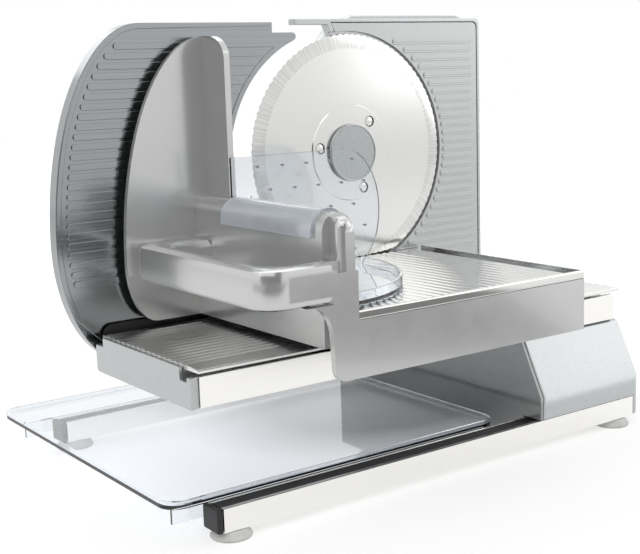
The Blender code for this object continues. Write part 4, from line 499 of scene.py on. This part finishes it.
def grown_object(name, bm, by):
    """A helper object whose surface stands out by a hair, so that it meets its neighbour."""
    bm.normal_update()
    moves = [(v, v.normal * v.calc_shell_factor() * by) for v in bm.verts]
    for v, move in moves:
        v.co += move
        v.co.y = max(v.co.y, cad_box[0][1])
    mesh = bpy.data.meshes.new(name)
    bm.to_mesh(mesh)
    bm.free()
    made = bpy.data.objects.new(name, mesh)
    scene.collection.objects.link(made)
    return made


def finger_post():
    """The wall's front end: an upright like a finger, with a domed top."""
    radius, straight, dome_middle = 0.0053, 0.0245, (-0.0891, -0.1422, 0.1757)
    bm = bmesh.new()
    bmesh.ops.create_uvsphere(bm, u_segments=32, v_segments=16, radius=radius)
    low = [v for v in bm.verts if v.co.z < -0.0001]
    bmesh.ops.translate(bm, verts=low, vec=(0, 0, -straight))
    bmesh.ops.translate(bm, verts=bm.verts, vec=dome_middle)
    return bm


def carriage_moulding(finish, by_angle):
    """The carriage's one lacquered moulding: fin, wall, grip and apron run into each other."""
    nodes = ("guard_wall", "carriage_grip", "guard_fin", "carriage_apron")
    overlap, under_finger_x = 0.00018, -0.0851
    parts = []
    for node in nodes:
        bm = merged_copy(node)
        if node == "guard_wall":
            for v in bm.verts:
                if v.co.y < -0.1325 and v.co.z > 0.1505 and v.co.x > -0.0803:
                    v.co.x = under_finger_x
        parts.append(grown_object("joining_" + node, bm, overlap))
    parts.append(grown_object("joining_post", finger_post(), 0.0))
    for part in parts[1:]:
        union = parts[0].modifiers.new("union", "BOOLEAN")
        union.operation = "UNION"
        # The exact solver loses the parts in some runs. This one gives the same union each time.
        union.solver = "MANIFOLD"
        union.object = part
    seen = parts[0].evaluated_get(bpy.context.evaluated_depsgraph_get())
    bm = bmesh.new()
    bm.from_mesh(seen.to_mesh())
    bmesh.ops.remove_doubles(bm, verts=bm.verts, dist=2e-5)
    bmesh.ops.dissolve_limit(bm, angle_limit=radians(0.5), verts=bm.verts, edges=bm.edges)
    for part in parts:
        bpy.data.objects.remove(part)
    piece = make_piece("carriage_moulding", bm, "carriage", finish, even=False)
    soften(piece, 0.9, by_angle, 3)
    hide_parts("guard_wall", "carriage_grip", "guard_fin", "carriage_apron")


def turned(name, profile_mm, place, facing, body, finish, steps=40):
    """A turned piece: the profile gives radius and height in mm, from the axis to the axis."""
    bm = bmesh.new()
    verts = [bm.verts.new((radius * MM, 0, height * MM)) for radius, height in profile_mm]
    edges = [bm.edges.new(pair) for pair in zip(verts, verts[1:])]
    bmesh.ops.spin(
        bm, geom=verts + edges, cent=(0, 0, 0), axis=(0, 0, 1), angle=2 * pi, steps=steps, use_merge=True,
    )
    bmesh.ops.remove_doubles(bm, verts=bm.verts, dist=1e-6)
    bmesh.ops.recalc_face_normals(bm, faces=bm.faces)
    turn = Vector(facing).to_track_quat("Z", "Y").to_matrix().to_4x4()
    bmesh.ops.transform(bm, matrix=Matrix.Translation(place) @ turn, verts=bm.verts)
    smooth_faces(bm)
    make_piece(name, bm, body, finish)


# Half the outline of a socket-head screw, as radius and height, in mm.
SCREW_MM = [(0, 0.1), (0.9, 0.1), (1.0, 1.2), (1.7, 1.35), (2.4, 1.0), (2.8, 0.3), (2.8, -0.4), (0, -0.4)]


def case_screws(zinc):
    """Socket-head screws in the case's back and the base's back."""
    case = [(0.146, 0.284), (0.146, 0.118), (0.082, 0.118), (0.082, 0.284)]
    base = [(0.105, 0.018), (0.181, 0.018)]
    for kind, y, places in (("case", CASE_BACK_Y, case), ("base", BASE_BACK_Y, base)):
        for number, (x, z) in enumerate(places):
            name = f"{kind}_screw_{number}"
            turned(name, SCREW_MM, (x, y, z), (0, 1, 0), "chassis", zinc, 24)


def case_louvres(black):
    """A block of air slots low on the case's back, over the motor."""
    spare, lowest, pitch = 0.009, 0.140, 0.0056
    for column, x in enumerate((0.100, 0.128)):
        bm = pressed_bar(0.0024, 0.00035)
        bmesh.ops.rotate(bm, verts=bm.verts, cent=(0, 0, 0), matrix=Matrix.Rotation(pi, 3, "Z"))
        repeat_bar(bm, [(spare, (x, CASE_BACK_Y, lowest + pitch * row)) for row in range(7)])
        make_piece(f"air_slots_{column}", bm, "chassis", black)


def dial_marks(white):
    """Numbers and ticks round the thickness knob's face, in mm of slice."""
    knob_depth, out, step = 0.0144, 0.0118, radians(22)
    merged = bmesh.new()
    for number in range(16):
        numbered = number % 3 == 0
        curve = bpy.data.curves.new("dial_number", "FONT")
        curve.body = str(number) if numbered else "|"
        curve.size = 0.0042 if numbered else 0.0022
        curve.align_x = "CENTER"
        curve.align_y = "CENTER"
        curve.extrude = 0.00012
        holder = bpy.data.objects.new("dial_number", curve)
        scene.collection.objects.link(holder)
        seen = holder.evaluated_get(bpy.context.evaluated_depsgraph_get())
        mesh = bpy.data.meshes.new_from_object(seen)
        bpy.data.objects.remove(holder)
        face = Matrix.Translation((KNOB_AXIS.x, KNOB_AXIS.y + knob_depth, KNOB_AXIS.z))
        turn = Matrix.Rotation(pi, 4, "Z") @ Matrix.Rotation(pi / 2, 4, "X")
        spun = Matrix.Rotation(-number * step, 4, "Z") @ Matrix.Translation((0, out, 0))
        mesh.transform(face @ turn @ spun)
        merged.from_mesh(mesh)
        bpy.data.meshes.remove(mesh)
    make_piece("dial_marks", merged, "adjuster", white)


def spiked_plate(clear):
    """The holder's clear plate, which reaches over the wall above a step. Gives its back's y."""
    step_z, reach_x, thick = 0.1838, -0.0888, 0.0022
    source = merged_copy("holder_plate")
    front = min(v.co.y for v in source.verts)
    rim = [e for e in source.edges if all(abs(v.co.y - front) < 1e-5 for v in e.verts)]
    rim = [e for e in rim if any(abs(f.normal.y) < 0.3 for f in e.link_faces)]
    bm = flat_outline(rim)
    source.free()
    for height in (step_z - 0.0001, step_z + 0.0001):
        bmesh.ops.bisect_plane(bm, geom=everything(bm), plane_co=(0, 0, height), plane_no=(0, 0, 1))
    left = min(v.co.x for v in bm.verts)
    for v in bm.verts:
        if v.co.x < left + 0.0005 and v.co.z > step_z:
            v.co.x = reach_x
    made = bmesh.ops.extrude_face_region(bm, geom=list(bm.faces))
    bmesh.ops.translate(bm, verts=verts_in(made["geom"]), vec=(0, thick, 0))
    bmesh.ops.recalc_face_normals(bm, faces=bm.faces)
    bmesh.ops.translate(bm, verts=bm.verts, vec=(0, front, 0))
    rims = [e for e in bm.edges if len(e.link_faces) == 2 and e.calc_face_angle(0) > 1.2]
    round_edges(bm, rims, 0.0004, 2)
    smooth_faces(bm)
    piece = make_piece("holder_spiked_plate", bm, "holder", clear)
    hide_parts("holder_plate")
    return front + thick


def holder_nibs(face_y, grey):
    """Small blunt nibs that hold the food, in staggered rows of five."""
    pitch, tall = 0.0194, 0.0034
    out = Matrix.Rotation(-pi / 2, 3, "X")
    nibs = bmesh.new()
    for row, z in enumerate((0.2022, 0.1867, 0.1711, 0.1554, 0.1398)):
        first = -0.0582 if row % 2 else -0.0676
        for number in range(5):
            made = bmesh.ops.create_cone(
                nibs, cap_ends=True, segments=8, radius1=0.001, radius2=0.0003, depth=tall,
            )
            bmesh.ops.rotate(nibs, verts=made["verts"], cent=(0, 0, 0), matrix=out)
            place = (first + pitch * number, face_y + 0.0016, z)
            bmesh.ops.translate(nibs, verts=made["verts"], vec=place)
    make_piece("holder_nibs", nibs, "holder", grey)


def long_tray(clear, by_angle):
    """The clear tray as long as the photograph shows it: it ends beside the base's cover."""
    longer, skirt_longer = 0.0466, 0.0085
    skirt_end_x, skirts_y = -0.1781, (-0.1027, 0.1118)
    bm = merged_copy("food_tray")
    for v in bm.verts:
        on_skirt = v.co.z < 0.0212 and min(abs(v.co.y - y) for y in skirts_y) < 0.0015
        if v.co.x > -0.09:
            v.co.x += longer
        elif on_skirt and abs(v.co.x - skirt_end_x) < 0.0003:
            v.co.x -= skirt_longer
    piece = make_piece("clear_tray", bm, "tray", clear, even=False)
    soften(piece, 0.3, by_angle)
    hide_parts("food_tray")


def ribbed_table(finish, by_angle):
    """The carriage's ribbed sheet, with the rolled front edge that runs on under the grip."""
    sheet_front_y = -0.1461
    roll_size, roll_place, rounding = (0.1871, 0.0022, 0.0055), (0.01065, -0.1464, 0.1246), 0.00105
    bm = merged_copy("carriage_table")
    for v in bm.verts:
        if v.co.y < -0.1465:
            v.co.y = sheet_front_y
    piece = make_piece("ribbed_table", bm, "carriage", finish, even=False)
    soften(piece, 0.2, by_angle)
    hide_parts("carriage_table")
    bm = bmesh.new()
    bmesh.ops.create_cube(bm, size=1)
    bmesh.ops.scale(bm, verts=bm.verts, vec=roll_size)
    bmesh.ops.translate(bm, verts=bm.verts, vec=roll_place)
    rims = [e for e in bm.edges if abs(e.verts[0].co.x - e.verts[1].co.x) > 0.1]
    round_edges(bm, rims, rounding, 6)
    smooth_faces(bm)
    make_piece("rolled_table_edge", bm, "carriage", finish)


def waved_deck(finish):
    """The fixed deck's soft waves, which run along the beam over its flat ribs."""
    left, length, front, back, low, top = -0.1668, 0.3524, -0.1055, 0.0125, 0.0985, 0.0992
    waves, steps, pitch, first, swell = 15, 8, 0.0067, -0.0937, 0.0004
    points = [(front, top)]
    for step in range(steps * waves + 1):
        rise = swell * (1 + cos(2 * pi * step / steps))
        points.append((first + pitch * step / steps, top + rise))
    points += [(back, top), (back, low), (front, low)]
    bm = bmesh.new()
    bm.faces.new([bm.verts.new((left, y, z)) for y, z in points])
    made = bmesh.ops.extrude_face_region(bm, geom=list(bm.faces))
    bmesh.ops.translate(bm, verts=verts_in(made["geom"]), vec=(length, 0, 0))
    bmesh.ops.recalc_face_normals(bm, faces=bm.faces)
    smooth_faces(bm)
    make_piece("deck_waves", bm, "chassis", finish)


def blade_linings(finish):
    """Bright bosses of the drive disc, which fill the blade's three holes but for a dark ring."""
    profile_mm = [(0, 0.3), (2.9, 0.3), (3.3, 0.1), (3.4, -0.3), (0, -0.3)]
    circle, face_y = 0.028, 0.0188
    for number, degrees in enumerate((51, 171, 291)):
        x = BLADE_AXIS.x + circle * cos(radians(degrees))
        z = BLADE_AXIS.z + circle * sin(radians(degrees))
        name = f"drive_disc_{number}"
        turned(name, profile_mm, (x, face_y, z), (0, -1, 0), "blade_unit", finish, 32)


def hub_ring(finish):
    """The raised rim round the blade's lock."""
    crest_mm = [(19.6, 0.0), (19.7, 0.35), (20.1, 0.5), (20.6, 0.35), (20.7, 0.0)]
    profile_mm = crest_mm + [(20.15, -0.2), (19.6, 0.0)]
    place = (BLADE_AXIS.x, 0.0154, BLADE_AXIS.z)
    turned("lock_rim", profile_mm, place, (0, -1, 0), "blade_unit", finish, 64)


def stop_rim(finish):
    """The stop plate's rolled rim, which stands round its field of bars."""
    source = merged_copy("stop_plate")
    around = []
    for edge in source.edges:
        middle = (edge.verts[0].co + edge.verts[1].co) / 2
        in_face = all(abs(v.co.y - STOP_FACE_Y) < 2e-5 for v in edge.verts)
        at_wall = any(abs(f.normal.y) < 0.1 for f in edge.link_faces)
        in_foot = 0.0785 < middle.z < 0.11 and -0.19 < middle.x < -0.01
        if in_face and at_wall and not in_foot:
            around.append(edge)
    bm = flat_outline(around)
    source.free()
    # Two insets leave the rim's own ring of faces between the plate's edge and its field.
    whole = list(bm.faces)
    bmesh.ops.inset_individual(bm, faces=whole, thickness=0.0004)
    bmesh.ops.inset_individual(bm, faces=whole, thickness=0.0034)
    inner = max(bm.faces, key=lambda f: f.calc_area())
    outer = [f for f in bm.faces if any(e.is_boundary for e in f.edges)]
    middles = [(f, f.calc_center_median()) for f in bm.faces]
    notch = [f for f, middle in middles if middle.x > -0.04 and middle.z > 0.28]
    bmesh.ops.delete(bm, geom=list({inner, *outer, *notch}), context="FACES")
    made = bmesh.ops.extrude_face_region(bm, geom=list(bm.faces))
    bmesh.ops.translate(bm, verts=verts_in(made["geom"]), vec=(0, -0.0007, 0))
    bmesh.ops.translate(bm, verts=bm.verts, vec=(0, STOP_FACE_Y + 0.0001, 0))
    bmesh.ops.recalc_face_normals(bm, faces=bm.faces)
    front = [e for e in bm.edges if all(v.co.y < STOP_FACE_Y - 0.0003 for v in e.verts)]
    round_edges(bm, [e for e in front if e.calc_face_angle(0) > 1], 0.00045, 3)
    smooth_faces(bm)
    make_piece("stop_plate_rim", bm, "stop", finish)


# Stage and light

def seen_rays(tree):
    """1 for the rays that show a thing to the eye: camera, glossy and transmission rays."""
    path = add(tree, "ShaderNodeLightPath")
    links = {0: path.outputs["Is Camera Ray"], 1: path.outputs["Is Glossy Ray"]}
    seen = add(tree, "ShaderNodeMath", links=links, operation="MAXIMUM")
    links = {0: seen.outputs[0], 1: path.outputs["Is Transmission Ray"]}
    return add(tree, "ShaderNodeMath", links=links, operation="MAXIMUM").outputs[0]


def stage_sheet(name, size, finish):
    """A flat sheet of the stage, at the origin and facing up."""
    mesh = bpy.data.meshes.new(name)
    bm = bmesh.new()
    bmesh.ops.create_grid(bm, x_segments=1, y_segments=1, size=size)
    bm.to_mesh(mesh)
    bm.free()
    mesh.materials.append(finish)
    sheet = bpy.data.objects.new(name, mesh)
    scene.collection.objects.link(sheet)
    return sheet


def dark_cards():
    """Painted dark reflections of the unlit room behind the camera: sheets, upright and on the floor, which
    gloss mirrors but the camera never sees.
    """
    made, tree, shader, place = start_finish("dark_reflection_card", "#2c2c2e", 0.9)
    shade(tree, shader, grain(tree, place, 30), "#29292b", "#303032")
    upright = stage_sheet("card_behind_camera", 1.45, made)
    upright.location = (-1.15, -1.55, 0.9)
    upright.rotation_euler = (Vector((0, 0, 0.3)) - upright.location).to_track_quat("Z", "Y").to_euler()
    lying = stage_sheet("card_on_floor", 0.55, made)
    lying.location = (-0.76, -1.03, 0.002)
    lying.rotation_euler = (0, 0, radians(-36))
    beside = stage_sheet("card_on_floor_right", 0.36, made)
    beside.location = (-0.06, -1.52, 0.003)
    far_left = stage_sheet("card_on_floor_left", 0.34, made)
    far_left.location = (-1.36, -0.2, 0.003)
    # A grey sheet, also seen only in reflections, paints a softer dark reflection.
    pale, tree, shader, place = start_finish("grey_reflection_card", "#8c8c8c", 0.9)
    shade(tree, shader, grain(tree, place, 30), "#8a8a8a", "#8e8e8e")
    # A grey sheet that only reflections see paints a darker reflection on the carriage's apron, where it
    # mirrors the floor to the right of the camera.
    front = stage_sheet("card_in_front", 1.0, pale)
    front.location = (0.36, -0.71, 0.002)
    front.rotation_euler = (0, 0, radians(28))
    front.scale = (0.15, 0.33, 1)
    for card in (upright, lying, beside, far_left, front):
        card.visible_camera = False
        card.visible_diffuse = False
        card.visible_shadow = False


def floor_and_world():
    """A plain pale floor that keeps the shadow, with a painted shadow under the slicer, and a white room
    behind it.
    """
    made, tree, shader, place = start_finish("pale_floor", "#d8d8d8", 0.9, 0.0, Specular_IOR_Level=0.1)
    stage_sheet("floor", 4.0, made)
    # The floor glows to show as white paper; under the slicer the glow fades out, a painted shadow over the
    # lamps' own, seen through the tray.
    values = {"Location": (-0.65, -0.45, 0.0), "Scale": (7.5, 10.0, 1)}
    links = {0: add(tree, "ShaderNodeMapping", values, {"Vector": place}).outputs[0]}
    under = add(tree, "ShaderNodeVectorMath", links=links, operation="LENGTH").outputs["Value"]
    values = {"From Min": 0.7, "From Max": 1.3, "To Min": 0.05, "To Max": 0.52}
    glow = add(tree, "ShaderNodeMapRange", values, {"Value": under})
    links = {0: glow.outputs[0], 1: seen_rays(tree)}
    glow = add(tree, "ShaderNodeMath", links=links, operation="MULTIPLY")
    # Far off it fades into the white background, for the camera alone.
    away = add(tree, "ShaderNodeVectorMath", links={0: place}, operation="LENGTH").outputs["Value"]
    values = {"From Min": 0.5, "From Max": 1.5, "To Max": 0.35}
    away = add(tree, "ShaderNodeMapRange", values, {"Value": away})
    camera = add(tree, "ShaderNodeLightPath").outputs["Is Camera Ray"]
    links = {0: away.outputs[0], 1: camera, 2: glow.outputs[0]}
    glow = add(tree, "ShaderNodeMath", links=links, operation="MULTIPLY_ADD")
    tree.links.new(glow.outputs[0], shader.inputs["Emission Strength"])
    shader.inputs["Emission Color"].default_value = (1, 1, 1, 1)
    world = bpy.data.worlds.new("white_room")
    world.use_nodes = True
    tree = world.node_tree
    tree.nodes.clear()
    level = add(tree, "ShaderNodeMapRange", {"To Min": 0.42, "To Max": 1.0}, {"Value": seen_rays(tree)})
    sky = add(tree, "ShaderNodeBackground", {"Color": (1, 1, 1, 1)}, {"Strength": level.outputs[0]})
    add(tree, "ShaderNodeOutputWorld", links={"Surface": sky.outputs[0]})
    scene.world = world


def lamp(name, place, size, watts, aim=(0, 0, 0.15)):
    """A soft square lamp that points at the slicer."""
    light = bpy.data.lights.new(name, "AREA")
    light.shape = "RECTANGLE"
    light.size, light.size_y = size
    light.energy = watts
    made = bpy.data.objects.new(name, light)
    made.location = place
    made.rotation_euler = (Vector(aim) - Vector(place)).to_track_quat("-Z", "Y").to_euler()
    scene.collection.objects.link(made)


def studio():
    """Soft light from above and the left, with a weak fill from the right."""
    floor_and_world()
    dark_cards()
    lamp("key", (-0.9, -0.7, 1.3), (1.6, 1.6), 9.5)
    lamp("fill", (1.3, -0.75, 0.8), (1.3, 1.3), 5)
    lamp("back", (0.2, 1.1, 1.2), (1.6, 1.0), 5)


def assign(finishes, group):
    """Each carried-over node gets its finish and its rounded edges."""
    for finish, width_mm, nodes in finishes:
        for name in nodes:
            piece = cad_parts[name]
            piece.data.materials.clear()
            piece.data.materials.append(finish)
            soften(piece, width_mm, group)


def main():
    by_angle = shade_by_angle()
    set_camera()
    scene.view_settings.view_transform = "Standard"
    studio()
    silver = silver_lacquer("silver_lacquer_on_abs", ("#c0c3c4", "#c2c5c6"), (0.26, 0.28), 0.65, 0.4)
    moulding = silver_lacquer("grey_lacquered_moulding", ("#d1d2d1", "#d3d4d3"), (0.2, 0.23), 0.6, 0.6)
    mark = silver_lacquer("hub_lacquer", ("#aeb1b2", "#b5b8b9"), (0.24, 0.3), 0.7, 0.25)
    pearl = pearl_powder_coat()
    anodised = grey_anodised()
    steel = turned_steel()
    zinc = zinc_plate()
    black = black_abs()
    ink = white_ink()
    clear = clear_styrene("clear_san", 1.0)
    scuffed = clear_styrene("scuffed_clear_san", 0.72)
    nib = satin_abs("moulded_nibs", "#adb0b3", "#b8bbbe")
    bronze = sintered_bronze()
    rail = polished_stainless("polished_stainless_rail", "X", (0.16, 0.2), ("#f2f1ee", "#f4f3f0"))
    deck = polished_stainless("polished_stainless_deck", "X", (0.28, 0.32), ("#e8e8e6", "#ebebe9"))
    table = polished_stainless("polished_stainless_table", "Y", (0.09, 0.12), ("#dcdcda", "#dfdfdd"))
    assign([
        (silver, 0.6, ["housing_frame", "motor_housing", "base_shell"]),
        (silver, 0.4, ["beam_end_cap"]),
        (mark, 0.4, ["blade_lock"]),
        (pearl, 0.4, ["face_plate"]),
        (anodised, 0.4, ["stop_plate"]),
        (ground_stainless(), 0.0, ["blade"]),
        (table, 0.2, ["carriage_table"]),
        (deck, 0.2, ["beam_deck"]),
        (rail, 0.3, ["beam_front_panel", "front_rail", "rear_rail"]),
        (extruded_aluminium(), 0.3, ["beam_body", "beam_front_wall", "beam_rear_wall"]),
        (moulding, 0.8, ["carriage_grip", "guard_wall", "guard_fin", "carriage_apron"]),
        (satin_abs("satin_grey_abs", "#b1b0ad", "#b5b4b1"), 0.4, ["power_button"]),
        (grey_gloss_abs(), 0.4, ["base_side_cover"]),
        # The rails' caps are black plastic, and their black also paints the shadow in the gaps at the
        # rails' ends.
        (black, 0.3, ["front_rail_insert", "rear_rail_insert", "front_rail_cap", "rear_rail_cap"]),
        # The carriage's slide is black plastic, and its black also paints the shade in the gap between the
        # carriage and the beam.
        (black, 0.3, ["beam_upstand", "carriage_slide", "lockout_button", "thickness_knob", "mains_inlet"]),
        (white_rubber(), 0.4, ["foot_front_left", "foot_front_right", "foot_rear_left", "foot_rear_right"]),
        (clear, 0.3, ["holder_plate", "holder_shelf", "food_tray"]),
        (scuffed, 0.3, ["holder_saddle"]),
        (steel, 0.2, ["guide_rod_left", "guide_rod_right", "yoke_bar", "thickness_screw"]),
        (steel, 0.2, ["worm_shaft", "blade_spindle"]),
        (zinc, 0.3, ["motor"]),
        (bronze, 0.2, ["front_spindle_bush", "rear_spindle_bush"]),
        (bronze, 0.2, ["guide_bush_left", "guide_bush_right"]),
        (natural_nylon(), 0.0, ["drive_gear"]),
    ], by_angle)
    plate_bars(anodised, pearl)
    carriage_moulding(moulding, by_angle)
    spikes_at = spiked_plate(clear)
    holder_nibs(spikes_at, nib)
    stop_rim(anodised)
    long_tray(clear, by_angle)
    ribbed_table(table, by_angle)
    waved_deck(deck)
    hub_ring(mark)
    blade_linings(table)
    case_screws(zinc)
    case_louvres(black)
    dial_marks(ink)


main()
